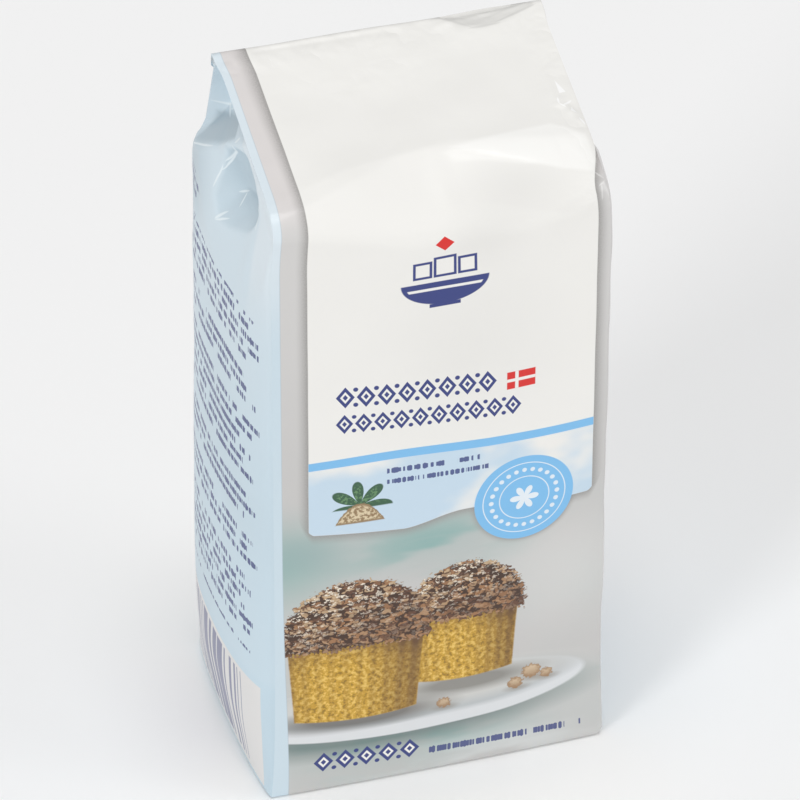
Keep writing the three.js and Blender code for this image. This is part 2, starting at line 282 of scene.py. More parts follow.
class FoldedFilm:
    """The film's form on the filled pouch, one ring of points for each row of the flat sheet."""

    def __init__(self, sizes):
        self.s = sizes
        half_depth = sizes.depth / 2
        self.front_y = -half_depth
        self.shoulder = np.array((-half_depth, sizes.front_shoulder))
        rear = np.array((half_depth, sizes.rear_shoulder))
        ridge = np.array((sizes.ridge_back, sizes.ridge_height))
        down = rear - ridge
        tilt = math.asin((FLAP_GAP + sizes.flap_thickness) / np.linalg.norm(down))
        c, s = math.cos(tilt), math.sin(tilt)
        down = unit(np.array((down[0] * c - down[1] * s, down[0] * s + down[1] * c)))
        out = np.array((-down[1], down[0]))
        flap_end = ridge + down * sizes.flap_length
        under_ridge = ridge - out * (sizes.flap_thickness + FLAP_GAP) + down * sizes.flap_thickness
        self.flap_down = down
        self.flap_inner = under_ridge + out * FLAP_GAP
        self.flap_inner_end = flap_end - out * sizes.flap_thickness
        self.leaning = RoundedCorner(self.shoulder, ridge, flap_end, RIDGE_RADIUS)
        self.back_profile = RoundedCorner(np.array((half_depth, 0)), rear, under_ridge, REAR_SHOULDER_RADIUS)
        self.front_end = sizes.front_shoulder + self.leaning.length
        self.ridge_start = self.front_end - sizes.flap_length - RIDGE_FOLD_LENGTH / 2 + RIDGE_SHIFT
        self.ridge_end = self.ridge_start + RIDGE_FOLD_LENGTH
        panel = towards_creases(np.arange(PANEL_COLUMNS) / PANEL_COLUMNS)
        gusset = towards_creases(np.arange(GUSSET_COLUMNS) / GUSSET_COLUMNS)
        self.panel_t = panel
        self.gusset_t = gusset

    def shoulder_share(self, t):
        """How full the shoulder's rounding is across the front, from 0 at the left to 1 at the right."""
        rising = lerp(SHOULDER_LEFT_SHARE, 1, smoothstep(t, SHOULDER_START, SHOULDER_PEAK))
        falling = lerp(1, SHOULDER_RIGHT_SHARE, smoothstep(t, SHOULDER_PEAK, 1))
        return np.where(t < SHOULDER_PEAK, rising, falling)

    def front_point(self, distance, t):
        """Points (Y, Z) of the front panel at a distance up its profile."""
        t = np.atleast_1d(t)
        share = self.shoulder_share(t)
        below = SHOULDER_ON_FRONT * share
        above = SHOULDER_ON_TOP * share
        along = (distance - self.s.front_shoulder + below) / (below + above)
        upright = np.stack([np.full(t.shape, self.front_y), np.full(t.shape, distance)], -1)
        leaning = np.broadcast_to(self.leaning.at(distance - self.s.front_shoulder), upright.shape)
        first = np.stack([np.full(t.shape, self.front_y), self.s.front_shoulder - below], -1)
        control = self.shoulder + np.stack([np.zeros(t.shape), -SHOULDER_DROP * share], -1)
        last = self.leaning.at(above)
        u = np.clip(along, 0, 1)[:, None]
        rounding = first * (1 - u) ** 2 + control * 2 * u * (1 - u) + last * u * u
        along = along[:, None]
        return np.where(along <= 0, upright, np.where(along >= 1, leaning, rounding))

    def front_normal(self, distance, t):
        """Directions (Y, Z) that point out of the front panel."""
        along = self.front_point(distance + PROFILE_STEP, t) - self.front_point(distance - PROFILE_STEP, t)
        along /= np.linalg.norm(along, axis=-1, keepdims=True)
        return np.stack([-along[:, 1], along[:, 0]], -1)

    def swelling(self, z):
        """The share of its bulge that a panel has at a height."""
        return lerp(BASE_BULGE_SHARE, 1, math.sin(math.pi / 2 * min(max(z / BULGE_RISE, 0), 1)))

    def gusset_offset(self, sign, place, t, tuck_depth, swell):
        """How far a gusset stands out from the plane of its creases at the points (Y, Z)."""
        s = self.s
        if sign < 0:
            low, high = s.left_bulge_low, s.left_bulge_high
            steepness, crease_front = LEFT_STEEPNESS, LEFT_CREASE_FRONT
        else:
            low, high = s.right_bulge_low, s.right_bulge_high
            steepness, crease_front = RIGHT_STEEPNESS, RIGHT_CREASE_FRONT
        offset = lerp(low, high, smoothstep(place[:, 1], SAG_FROM, SAG_TO)) * swell * crown(t, steepness)
        above = -distance_left(place, CREASE_REAR, crease_front)
        if sign < 0:
            fall = high / distance_left(DENT_POINT, LEFT_CREASE_FRONT, DENT_CORNER)
            chord = fall * distance_left(place, LEFT_CREASE_FRONT, DENT_CORNER)
            spread = np.linalg.norm(place - DENT_MIDDLE, axis=-1) / DENT_REACH
            dent = DENT_DEPTH * np.exp(-(spread**2)) * crown(t, 1)
            offset = np.minimum(offset, np.maximum(chord, 0)) - dent
            offset = np.minimum(offset, LEFT_PUSH_SLOPE * -above + LEFT_PUSH_START)
        else:
            offset = np.minimum(offset, RIGHT_PUSH_SLOPE * -above + RIGHT_PUSH_START)
        return np.maximum(offset, -tuck_depth * (1 - np.abs(2 * t - 1)))

    def ring(self, half_width, front, back, offset, foot=0.0):
        """One ring of points round the tube: front, right gusset, back, left gusset."""
        t = self.panel_t
        front_yz = front(t)
        back_yz = back(t)
        right = half_width - foot
        parts = [np.column_stack([lerp(-half_width, right, t), front_yz])]
        t = self.gusset_t
        place = lerp(front(np.array([1.0])), back(np.array([0.0])), t[:, None])
        parts.append(np.column_stack([right + offset(1, place, t), place]))
        parts.append(np.column_stack([lerp(right, -half_width, self.panel_t), back_yz]))
        t = 1 - t
        place = lerp(front(np.array([0.0])), back(np.array([1.0])), t[:, None])
        parts.append(np.column_stack([-half_width - offset(-1, place, t), place]))
        return np.concatenate(parts)

    def body_ring(self, z, inset):
        """The upright part, at a height and drawn in by an inset at the bottom's rounding."""
        s = self.s
        swell = self.swelling(z)
        flare = (s.base_width - s.body_width) * math.exp(-z / FLARE_HEIGHT)
        foot = 0.0
        if z < RIGHT_FOOT_RADIUS:
            foot = RIGHT_FOOT_RADIUS - math.sqrt(RIGHT_FOOT_RADIUS**2 - (RIGHT_FOOT_RADIUS - z) ** 2)

        def panel(y, bulge):
            return lambda t: np.column_stack([y + bulge * swell * crown(t, 1), np.full(t.shape, z)])

        return self.ring(
            (s.body_width + flare) / 2 - inset,
            panel(-s.depth / 2 + inset, -s.front_bulge),
            panel(s.depth / 2 - inset, s.back_bulge),
            lambda sign, place, t: self.gusset_offset(sign, place, t, 0, swell),
            foot,
        )

    def upper_ring(self, q):
        """The shoulder and the leaning top, q from 0 at the rear shoulder's height to 1 at the ridge."""
        s = self.s
        front_at = lerp(s.rear_shoulder, self.ridge_start, q)
        back_at = lerp(s.rear_shoulder, self.back_profile.length, q)
        front_bulge = s.front_bulge * (1 - smoothstep(q, *FRONT_FLATTENS))
        back_bulge = s.back_bulge * (1 - smoothstep(q, *BACK_FLATTENS))
        chord = np.linalg.norm(self.front_point(front_at, 0.0)[0] - self.back_profile.at(back_at)[0])
        tuck_depth = math.sqrt(max(0, (s.gusset_width / 2) ** 2 - (chord / 2) ** 2))
        tuck_depth *= 1 - smoothstep(q, SLOT_CLOSES, SLOT_END)
        closed = q > SLOT_END
        ahead = self.back_profile.at(back_at + PROFILE_STEP)[0]
        along = unit(ahead - self.back_profile.at(back_at - PROFILE_STEP)[0])
        back_normal = np.array((along[1], -along[0]))

        def front(t):
            push = front_bulge * crown(t, 1)
            return self.front_point(front_at, t) + self.front_normal(front_at, t) * push[:, None]

        def back(t):
            return self.back_profile.at(back_at) + back_normal * (back_bulge * crown(t, 1))[:, None]

        def offset(sign, place, t):
            return 0 * t if closed else self.gusset_offset(sign, place, t, tuck_depth, 1)

        half_width = lerp(s.body_width, s.top_width, smoothstep(q, *TOP_NARROWS)) / 2
        return self.ring(half_width + RIDGE_EAR * smoothstep(q, *EARS_GROW), front, back, offset)

    def flap_ring(self, distance, pinch=0.0):
        """The flattened tube over the ridge and down the flap. pinch closes the end of the flap."""
        share = (distance - self.ridge_start) / (self.front_end - self.ridge_start)
        ridge_middle = self.ridge_start + RIDGE_FOLD_LENGTH / 2
        step_in = FLAP_STEP_IN * smoothstep(distance, ridge_middle, self.ridge_end)
        outer = self.leaning.at(distance - self.s.front_shoulder)
        inner = lerp(self.flap_inner, self.flap_inner_end, share)[None, :]
        middle = (outer + inner) / 2
        outer = lerp(outer, middle, pinch)
        inner = lerp(inner, middle, pinch)
        beyond = self.flap_down * END_STEP * pinch
        return self.ring(
            self.s.top_width / 2 + RIDGE_EAR - step_in,
            lambda t: np.repeat(outer + beyond, len(t), 0),
            lambda t: np.repeat(inner + beyond, len(t), 0),
            lambda sign, place, t: 0 * t,
        )

    def rows(self):
        """Every row of the film, with its distance up the front and up the back."""
        s = self.s
        rings, front_up, back_up = [], [], []

        def add(ring, up_front, up_back):
            rings.append(ring)
            front_up.append(up_front)
            back_up.append(up_back)

        edge = self.body_ring(0, BASE_RADIUS)
        for i in range(BASE_ROWS):
            share = i / BASE_ROWS
            add(edge * np.array((1, share, 1)), (share - 1) * s.depth / 2, (share - 1) * s.depth / 2)
        for i in range(FOOT_ROWS + 1):
            turn = math.pi / 2 * i / FOOT_ROWS
            z = BASE_RADIUS * (1 - math.cos(turn))
            add(self.body_ring(z, BASE_RADIUS * (1 - math.sin(turn))), z, z)
        for i in range(1, BODY_ROWS):
            z = lerp(BASE_RADIUS, s.rear_shoulder, i / BODY_ROWS)
            add(self.body_ring(z, 0), z, z)
        for i in range(UPPER_ROWS + 1):
            q = i / UPPER_ROWS
            up_front = lerp(s.rear_shoulder, self.ridge_start, q)
            add(self.upper_ring(q), up_front, lerp(s.rear_shoulder, self.back_profile.length, q))
        back_top = self.back_profile.length - self.ridge_start
        for i in range(1, RIDGE_ROWS + 1):
            distance = lerp(self.ridge_start, self.ridge_end, i / RIDGE_ROWS)
            add(self.flap_ring(distance), distance, back_top + distance)
        for i in range(1, FLAP_ROWS + 1):
            distance = lerp(self.ridge_end, self.front_end, i / FLAP_ROWS)
            add(self.flap_ring(distance), distance, back_top + distance)
        for i in range(1, END_ROWS + 1):
            beyond = self.front_end + END_STEP * i
            add(self.flap_ring(self.front_end, i / END_ROWS), beyond, back_top + beyond)
        return np.array(rings), np.array(front_up), np.array(back_up)


def deselect_all():
    if bpy.context.object and bpy.context.object.mode != "OBJECT":
        bpy.ops.object.mode_set(mode="OBJECT")
    bpy.ops.object.select_all(action="DESELECT")


def outward_normals(points):
    """Normals of a rolled sheet of points, rows by columns."""
    across = np.roll(points, -1, 1) - np.roll(points, 1, 1)
    along = np.gradient(points, axis=0)
    normals = np.cross(across, along)
    return normals / np.maximum(np.linalg.norm(normals, axis=-1, keepdims=True), 1e-12)


def film_coordinates(film, front_up, back_up):
    """Millimetres round the tube and up it, for each row and column, with the closing column too."""
    widths = (film.panel_t * FRONT_FILM, film.gusset_t * GUSSET_FILM) * 2
    panels = [start + width for start, width in zip(PANEL_STARTS, widths)]
    around = np.concatenate([*panels, [FILM_AROUND]])
    toward_back = np.concatenate(
        [0 * film.panel_t, film.gusset_t, 0 * film.panel_t + 1, 1 - film.gusset_t, [0]]
    )
    up = lerp(front_up[:, None], back_up[:, None], toward_back[None, :]) / MM
    return np.broadcast_to(around, up.shape), up


def gaussian(across, up, centre, reach):
    return np.exp(-(((across - centre[0]) / reach[0]) ** 2) - ((up - centre[1]) / reach[1]) ** 2)


def fold_line(across, up, start, end, width):
    """A raised line between two points of a panel, fading at its ends."""
    start, end = np.array(start, float), np.array(end, float)
    line = end - start
    length = np.linalg.norm(line)
    along = ((across - start[0]) * line[0] + (up - start[1]) * line[1]) / length**2
    held = np.clip(along, 0, 1)
    away = np.hypot(across - start[0] - held * line[0], up - start[1] - held * line[1])
    taper = np.sin(np.pi * np.clip(held, 0.02, 0.98)) ** 0.5
    return np.exp(-((away / width) ** 2)) * taper


def sum_of_folds(across, up, folds):
    return sum(height * fold_line(across, up, start, end, width) for start, end, width, height in folds)


# Hollows and soft swells of the front, in millimetres: place (across from the middle, up), reach and height.
FRONT_HOLLOWS = (
    ((10, 151), (11, 8), -0.4),
    ((8, 139), (10, 7), -0.45),
    ((28, 136), (6, 8), -0.4),
    ((-18, 146), (10, 7), -0.3),
    ((-2, 180), (16, 6), -0.3),
    ((-20, 112), (16, 20), 0.2),
    ((14, 60), (20, 24), 0.25),
)
# Folds of the front: start, end, width and height.
FRONT_FOLDS = (
    ((1.5, 163), (2.5, 146), 2.0, 0.3),
    ((-34, 197), (4, 196.2), 0.8, -0.3),
    ((12, 195.6), (27, 197.4), 0.45, 0.25),
    ((20, 193), (33, 196), 0.5, -0.25),
    ((36.5, 150.5), (28, 146), 0.8, 0.2),
    ((36.5, 150.5), (29, 140), 1.0, 0.18),
    ((36.5, 130), (33, 146), 1.6, 0.2),
    ((31.7, 171.5), (32.6, 175.4), 0.5, 0.3),
    ((31.8, 171.2), (35.2, 170.6), 0.45, 0.32),
    ((31.2, 170), (34.6, 168.4), 0.45, 0.32),
    ((33.6, 167.8), (36, 166.2), 0.5, 0.35),
    ((35, 165.2), (36.6, 163.2), 0.4, 0.3),
    ((33.2, 182), (35.6, 166), 1.1, -0.3),
)
# The crest where the front turns into the leaning top. Right of its apex a flat facet reaches down to a
# foot line. For each place across: the crest's height, how far it stands out, the facet's foot and slope.
CREST_ACROSS = (-37, -28, -19, -7, 2, 3.5, 9, 16, 27, 34.4, 37)
CREST_UP = (156, 159, 161.5, 163, 163.6, 163.8, 164.4, 164.6, 165, 162, 160)
CREST_RISE = (0.2, 0.5, 0.65, 0.8, 1.0, 1.0, 1.0, 1.0, 0.9, 0.6, 0.1)
CREST_FOOT = (156, 159, 161.5, 163, 163.5, 163, 161, 158.5, 154, 152, 151.5)
FACET_SLOPE = (0, 0, 0, 0, 0, 0.02, 0.05, 0.05, 0.03, 0.02, 0)
CREST_ABOVE = 22
CREST_BELOW = (7, 7, 7, 7, 8, 9, 10, 11, 11, 10, 9)
# The line below the ridge from which the film is pushed back, across and up, then how far, over what
# length and to what height.
PUSHED_ACROSS = (7, 12.5, 15.9, 18.2, 20.5, 23, 26, 30, 35)
PUSHED_UP = (199.5, 198.2, 195.8, 194.3, 193.6, 193.4, 193.8, 195.1, 196.8)
PUSHED_BACK = 1.0
PUSHED_OVER = 3.0
PUSHED_TO = 199
# The pit beside the left front crease: its corners (across from the crease, up), each with the slope of
# the wall that starts there.
PIT_CORNERS = (
    (8.5, 165, 1.6),
    (12.7, 143.4, 0.8),
    (16.2, 139, 0.5),
    (25.4, 134.5, 0.4),
    (30.9, 133.2, 0.5),
    (35.5, 137.8, 0.55),
    (35.5, 146.4, 0.6),
    (32.2, 153.6, 0.9),
    (25.4, 158, 1.2),
)
# The valley across the pit's floor, and the floor's depth and slope there.
PIT_VALLEY = ((36.3, 138.5), (11, 146.5))
PIT_DEPTH = 4.6
PIT_FLOOR_SLOPE = 0.22
# Folds of the left gusset: start, end, width and height, across from its front crease.
LEFT_FOLDS = (
    ((57, 138), (40, 148.5), 1.0, 0.35),
    ((40, 148.5), (24, 159.6), 0.9, 0.4),
    ((32, 155.5), (35.8, 139), 0.8, 0.45),
    ((31, 133.6), (27, 139.5), 0.45, 0.35),
    ((31, 133.6), (24, 137.6), 0.45, 0.3),
    ((22, 149.6), (16.5, 151), 0.45, 0.3),
    ((18.5, 151), (20.5, 145), 0.5, 0.3),
    ((47, 154.5), (30, 165), 0.8, 0.7),
    ((50, 158), (34, 166), 0.6, -0.4),
    ((36, 171), (20, 172), 0.9, 0.5),
    ((46, 166), (30, 176), 0.7, 0.4),
    ((9.2, 156), (11.4, 144), 0.6, 0.3),
    ((11, 141), (14, 128), 2.0, 0.35),
    ((50, 133), (46, 112), 2.5, 0.3),
)


# Over this distance from a crease the front's relief grows, and by so much more on the leaning top.
EDGE_HOLDS = 4
EDGE_HOLDS_ON_TOP = 8
TOP_BEGINS = (165, 175)
FOLDS_HELD_ABOVE = 170
# The right gusset has the first few of the left gusset's folds, and so much of their height.
RIGHT_FOLD_COUNT = 3
RIGHT_FOLD_SHARE = 0.8
# The slow waves begin above the bottom, grow over a length, and fade on the gussets and the back.
WAVES_BEGIN = 4
WAVES_GROW = 12
WAVES_FADE = (150, 165)
WAVE_COUNT = 14
WAVE_TURNS = (2, 14)
WAVE_PITCH = (14, 60)
WAVE_HEIGHT = 0.75
WAVE_FEW_TURNS = 6


def left_of_edge(across, up, start, end):
    """Distance in millimetres to the left of an edge, for across to the right and up upward."""
    along = (end[0] - start[0], end[1] - start[1])
    away = along[0] * (up - start[1]) - along[1] * (across - start[0])
    return away / math.hypot(*along)


def pit(across, up):
    """The faceted pit: 0 at its edges and below zero inside, in millimetres."""
    floor = PIT_DEPTH - PIT_FLOOR_SLOPE * np.abs(left_of_edge(across, up, *PIT_VALLEY))
    walls = [floor]
    for (x, y, slope), end in zip(PIT_CORNERS, PIT_CORNERS[1:] + PIT_CORNERS[:1]):
        walls.append(slope * left_of_edge(across, up, (x, y), end[:2]))
    return -np.maximum(np.minimum.reduce(walls), 0)


def crest(across, up):
    """The shoulder's crest and its facet, so that the top, the facet and the front meet in lines."""
    top, rise, foot, slope, below = (
        np.interp(across, CREST_ACROSS, values)
        for values in (CREST_UP, CREST_RISE, CREST_FOOT, FACET_SLOPE, CREST_BELOW)
    )
    facet = rise + slope * (top - np.clip(up, foot, top))
    fade = np.where(up > top, (up - top) / CREST_ABOVE, (foot - up) / below)
    return facet * np.clip(1 - np.maximum(fade, 0), 0, 1)


def pushed_ridge(across, up):
    """The stretch below the ridge that is pushed back."""
    curve = np.interp(across, PUSHED_ACROSS, PUSHED_UP)
    return -PUSHED_BACK * np.clip((up - curve) / PUSHED_OVER, 0, 1) * (up < PUSHED_TO)


def relief(around, up):
    """The film's own small dents, folds and waves, as heights in millimetres."""
    height = np.zeros(up.shape)
    across = around - FRONT_FILM / 2
    front = around < FRONT_FILM
    from_crease = np.minimum(around, FRONT_FILM - around)
    edge = np.clip(from_crease / (EDGE_HOLDS + EDGE_HOLDS_ON_TOP * smoothstep(up, *TOP_BEGINS)), 0, 1)
    dents = sum(h * gaussian(across, up, place, reach) for place, reach, h in FRONT_HOLLOWS)
    folds = sum_of_folds(across, up, FRONT_FOLDS)
    folds = np.where(up > FOLDS_HELD_ABOVE, folds * edge, folds)
    ridge = pushed_ridge(across, up) * edge
    height += np.where(front, dents * edge + folds + crest(across, up) + ridge, 0)
    left_around = FILM_AROUND - around
    left = left_around < GUSSET_FILM
    folds = sum_of_folds(left_around, up, LEFT_FOLDS)
    height += np.where(left, folds + pit(left_around, up), 0)
    right = (around > FRONT_FILM) & (around < FRONT_FILM + GUSSET_FILM)
    folds = sum_of_folds(around - FRONT_FILM, up, LEFT_FOLDS[:RIGHT_FOLD_COUNT])
    height += np.where(right, RIGHT_FOLD_SHARE * folds, 0)
    slack = np.clip((up - WAVES_BEGIN) / WAVES_GROW, 0, 1)
    slack *= np.where(front, edge, 1 - smoothstep(up, *WAVES_FADE))
    height += slow_waves(around, up) * slack
    return height


def slow_waves(around, up, seed=7):
    """Gentle waves of the slack film, the same on every run."""
    draw = np.random.default_rng(seed)
    total = np.zeros(up.shape)
    for _ in range(WAVE_COUNT):
        turns = draw.integers(*WAVE_TURNS)
        pitch = draw.uniform(*WAVE_PITCH)
        phase = draw.uniform(0, 2 * np.pi, 2)
        size = WAVE_HEIGHT * min(turns, WAVE_FEW_TURNS) / turns / WAVE_COUNT
        wave = np.sin(2 * np.pi * turns * around / FILM_AROUND + phase[0])
        total += size * wave * np.sin(2 * np.pi * up / pitch + phase[1])
    return total


def flat_sheet(columns, rows):
    """The flat film: a grid primitive whose quads will be the film's rows and columns."""
    deselect_all()
    bpy.ops.mesh.primitive_grid_add(x_subdivisions=columns, y_subdivisions=rows, size=1, calc_uvs=True)
    sheet = bpy.context.object
    sheet.name = sheet.data.name = "printed_pouch"
    return sheet


def fold_into_pouch(sheet, sizes):
    """Puts each point of the flat sheet where it lies on the filled, folded pouch."""
    film = FoldedFilm(sizes)
    rings, front_up, back_up = film.rows()
    around, up = film_coordinates(film, front_up, back_up)
    heights = relief(around[:, :-1], up[:, :-1])
    fade = np.ones(len(rings))
    fade[: BASE_ROWS + 2] = 0
    fade[-END_ROWS - 1 :] = 0
    rings = rings + outward_normals(rings) * heights[..., None] * fade[:, None, None] * MM
    rings[..., 0] += (sizes.left_bulge_low - sizes.right_bulge_low) / 2
    rings[..., 1] += (sizes.front_bulge - sizes.back_bulge) / 2
    closed = np.concatenate([rings, rings[:, :1]], 1)
    mesh = sheet.data
    flat = np.zeros(len(mesh.vertices) * 3)
    mesh.vertices.foreach_get("co", flat)
    flat = flat.reshape(-1, 3)
    column = np.rint((flat[:, 0] + 0.5) * (closed.shape[1] - 1)).astype(int)
    row = np.rint((flat[:, 1] + 0.5) * (closed.shape[0] - 1)).astype(int)
    mesh.vertices.foreach_set("co", closed[row, column].ravel())
    corner = np.zeros(len(mesh.loops), int)
    mesh.loops.foreach_get("vertex_index", corner)
    write_film_map(mesh, around[row, column][corner], up[row, column][corner])
    write_bake_map(mesh, around[row, column][corner], up[row, column][corner])
    mesh.update()
    return film


def write_film_map(mesh, around, up):
    """The UV map that the print is drawn in: the film laid flat."""
    layer = mesh.uv_layers[0]
    layer.name = "Film"
    uv = np.column_stack([around / FILM_AROUND, (up + BASE_FILM) / FILM_UP])
    layer.uv.foreach_set("vector", uv.ravel())


# The map for baking: the share of its width at which each panel starts, with most of it for the front.
BAKE_PANELS = (0.004, 0.46, 0.62, 0.84, 0.996)
# The film's height that the map for baking takes in, in millimetres.
BAKE_UP = 256


def write_bake_map(mesh, around, up):
    """A map of the whole film without overlaps, for baking the print."""
    layer = mesh.uv_layers.new(name="OFBake", do_init=False)
    across = np.interp(around, (*PANEL_STARTS, FILM_AROUND), BAKE_PANELS)
    layer.uv.foreach_set("vector", np.column_stack([across, (up + BASE_FILM) / BAKE_UP]).ravel())
    mesh.uv_layers.active_index = 0


def close_and_smooth(pouch):
    """Welds the tube's seam and both its ends, turns the faces outward and softens the creases a little."""
    deselect_all()
    pouch.select_set(True)
    bpy.context.view_layer.objects.active = pouch
    bpy.ops.object.mode_set(mode="EDIT")
    bpy.ops.mesh.select_all(action="SELECT")
    bpy.ops.mesh.remove_doubles(threshold=2e-6)
    bpy.ops.mesh.dissolve_degenerate(threshold=1e-7)
    bpy.ops.mesh.select_all(action="SELECT")
    bpy.ops.mesh.vertices_smooth(factor=0.5, repeat=1)
    bpy.ops.mesh.normals_make_consistent(inside=False)
    bpy.ops.object.mode_set(mode="OBJECT")
    bpy.ops.object.shade_smooth_by_angle(angle=math.radians(50))


class Field:
    """A number worked out by shader nodes, used like a plain number."""

    def __init__(self, tree, socket):
        self.tree = tree
        self.socket = socket

    def math(self, operation, *others, clamp=False):
        node = self.tree.nodes.new("ShaderNodeMath")
        node.operation = operation
        node.use_clamp = clamp
        for place, value in zip(node.inputs, (self, *others)):
            if isinstance(value, Field):
                self.tree.links.new(value.socket, place)
            else:
                place.default_value = value
        return Field(self.tree, node.outputs[0])

    def __add__(self, other):
        return self.math("ADD", other)

    def __sub__(self, other):
        return self.math("SUBTRACT", other)

    def __mul__(self, other):
        return self.math("MULTIPLY", other)

    def __truediv__(self, other):
        return self.math("DIVIDE", other)

    def __neg__(self):
        return self.math("MULTIPLY", -1.0)

    def __rsub__(self, other):
        return -self + other

    __radd__ = __add__
    __rmul__ = __mul__

    def less(self, other):
        return self.math("MINIMUM", other)

    def more(self, other):
        return self.math("MAXIMUM", other)

    def size(self):
        return self.math("ABSOLUTE")

    def power(self, exponent):
        return self.math("POWER", exponent)

    def held(self):
        """The number kept from 0 to 1."""
        return self.math("ADD", 0.0, clamp=True)

    def repeat(self, pitch):
        """Distance from the middle of the nearest repeat."""
        return self.math("WRAP", pitch / 2, -pitch / 2)

    def index(self, pitch):
        return (self / pitch + 0.5).math("FLOOR")

    def smooth(self, low, high):
        node = self.tree.nodes.new("ShaderNodeMapRange")
        node.interpolation_type = "SMOOTHSTEP"
        self.tree.links.new(self.socket, node.inputs["Value"])
        node.inputs["From Min"].default_value = low
        node.inputs["From Max"].default_value = high
        return Field(self.tree, node.outputs[0])


def hypot(a, b):
    return (a * a + b * b).math("SQRT")


class Print:
    """Layers of colour on a panel of the film. x is across from its middle and y up, in millimetres."""

    def __init__(self, name, finish, centre):
        self.material = bpy.data.materials.new(name)
        self.material.use_nodes = True
        self.tree = self.material.node_tree
        self.tree.nodes.clear()
        film_map = self.tree.nodes.new("ShaderNodeUVMap")
        film_map.uv_map = "Film"
        parts = self.tree.nodes.new("ShaderNodeSeparateXYZ")
        self.tree.links.new(film_map.outputs[0], parts.inputs[0])
        self.x = Field(self.tree, parts.outputs[0]) * FILM_AROUND - centre
        self.y = Field(self.tree, parts.outputs[1]) * FILM_UP - BASE_FILM
        self.colour = None
        self.crumpled = self.x * 0
        self.raised = self.x * 0
        self.finish = finish

    def place(self, x_stretch, y_stretch, seed, height=None):
        """The film's coordinates stretched, and moved to another part of a pattern for each seed."""
        both = self.tree.nodes.new("ShaderNodeCombineXYZ")
        self.tree.links.new((self.x * x_stretch + seed * 131.7).socket, both.inputs[0])
        self.tree.links.new(((height or self.y) * y_stretch + seed * 57.3).socket, both.inputs[1])
        return both.outputs[0]

    def cells(self, scale, seed=0.0, y_stretch=1.0):
        """Lumps lying close together, 1 in their middles and 0 between, and two numbers for each lump."""
        cells = self.tree.nodes.new("ShaderNodeTexVoronoi")
        cells.voronoi_dimensions = "2D"
        stir = self.tree.nodes.new("ShaderNodeTexNoise")
        stir.noise_dimensions = "2D"
        stir.inputs["Scale"].default_value = 1.1 * scale
        stir.inputs["Detail"].default_value = 1.0
        mixed = self.tree.nodes.new("ShaderNodeVectorMath")
        mixed.operation = "MULTIPLY_ADD"
        straight = self.place(1.0, y_stretch, seed)
        self.tree.links.new(straight, stir.inputs["Vector"])
        self.tree.links.new(stir.outputs["Color"], mixed.inputs[0])
        mixed.inputs[1].default_value = (2.4 / scale, 1.5 / scale, 0)
        self.tree.links.new(straight, mixed.inputs[2])
        self.tree.links.new(mixed.outputs[0], cells.inputs["Vector"])
        cells.inputs["Scale"].default_value = scale
        parts = self.tree.nodes.new("ShaderNodeSeparateXYZ")
        self.tree.links.new(cells.outputs["Color"], parts.inputs[0])
        middle = Field(self.tree, cells.outputs["Distance"]) * -1.25 + 1
        return middle.held(), Field(self.tree, parts.outputs[0]), Field(self.tree, parts.outputs[1])

    def noise(self, scale, detail=2.0, x_stretch=1.0, y_stretch=1.0, seed=0.0, roughness=0.5, height=None):
        """Smooth noise from 0 to 1, in patches of about 1 / scale millimetres. height may stand for y."""
        noise = self.tree.nodes.new("ShaderNodeTexNoise")
        noise.noise_dimensions = "2D"
        self.tree.links.new(self.place(x_stretch, y_stretch, seed, height), noise.inputs["Vector"])
        noise.inputs["Scale"].default_value = scale
        noise.inputs["Detail"].default_value = detail
        noise.inputs["Roughness"].default_value = roughness
        return Field(self.tree, noise.outputs[0])

    def start(self, colour):
        node = self.tree.nodes.new("ShaderNodeRGB")
        node.outputs[0].default_value = (*colour, 1)
        self.colour = node.outputs[0]

    def lay(self, colour, mask):
        """Lays a colour over what is printed so far, where the mask is 1."""
        mix = self.tree.nodes.new("ShaderNodeMix")
        mix.data_type = "RGBA"
        self.tree.links.new(mask.socket, mix.inputs["Factor"])
        self.tree.links.new(self.colour, mix.inputs[6])
        if isinstance(colour, bpy.types.NodeSocket):
            self.tree.links.new(colour, mix.inputs[7])
        else:
            mix.inputs[7].default_value = (*colour, 1)
        self.colour = mix.outputs[2]

    def blend(self, first, second, mask):
        """A colour between two others."""
        mix = self.tree.nodes.new("ShaderNodeMix")
        mix.data_type = "RGBA"
        mix.inputs[6].default_value = (*first, 1)
        mix.inputs[7].default_value = (*second, 1)
        self.tree.links.new(mask.socket, mix.inputs["Factor"])
        return mix.outputs[2]

    def edge(self, distance, soft=0.14):
        """1 where a distance in millimetres is below zero, with a crisp printed edge."""
        return (distance * (-1 / soft) + 0.5).held()

    def oval(self, x, y, half_width, half_height):
        reach = hypot((self.x - x) / half_width, (self.y - y) / half_height)
        return (reach - 1) * min(half_width, half_height)

    def box(self, x, y, half_width, half_height):
        across = (self.x - x).size() - half_width
        return across.more((self.y - y).size() - half_height)

    def glow(self, x, y, reach_x, reach_y):
        """A soft round spot, 1 in its middle."""
        away = hypot((self.x - x) / reach_x, (self.y - y) / reach_y)
        return (away * -1 + 1).held().smooth(0, 1)

    def within(self, corners, soft):
        """1 inside a convex outline whose corners run counter-clockwise, fading in over soft millimetres."""
        inside = None
        for (x, y), end in zip(corners, corners[1:] + corners[:1]):
            along = (end[0] - x, end[1] - y)
            length = math.hypot(*along)
            away = (self.y - y) * (along[0] / length) - (self.x - x) * (along[1] / length)
            inside = away if inside is None else inside.less(away)
        return inside.smooth(0, soft)

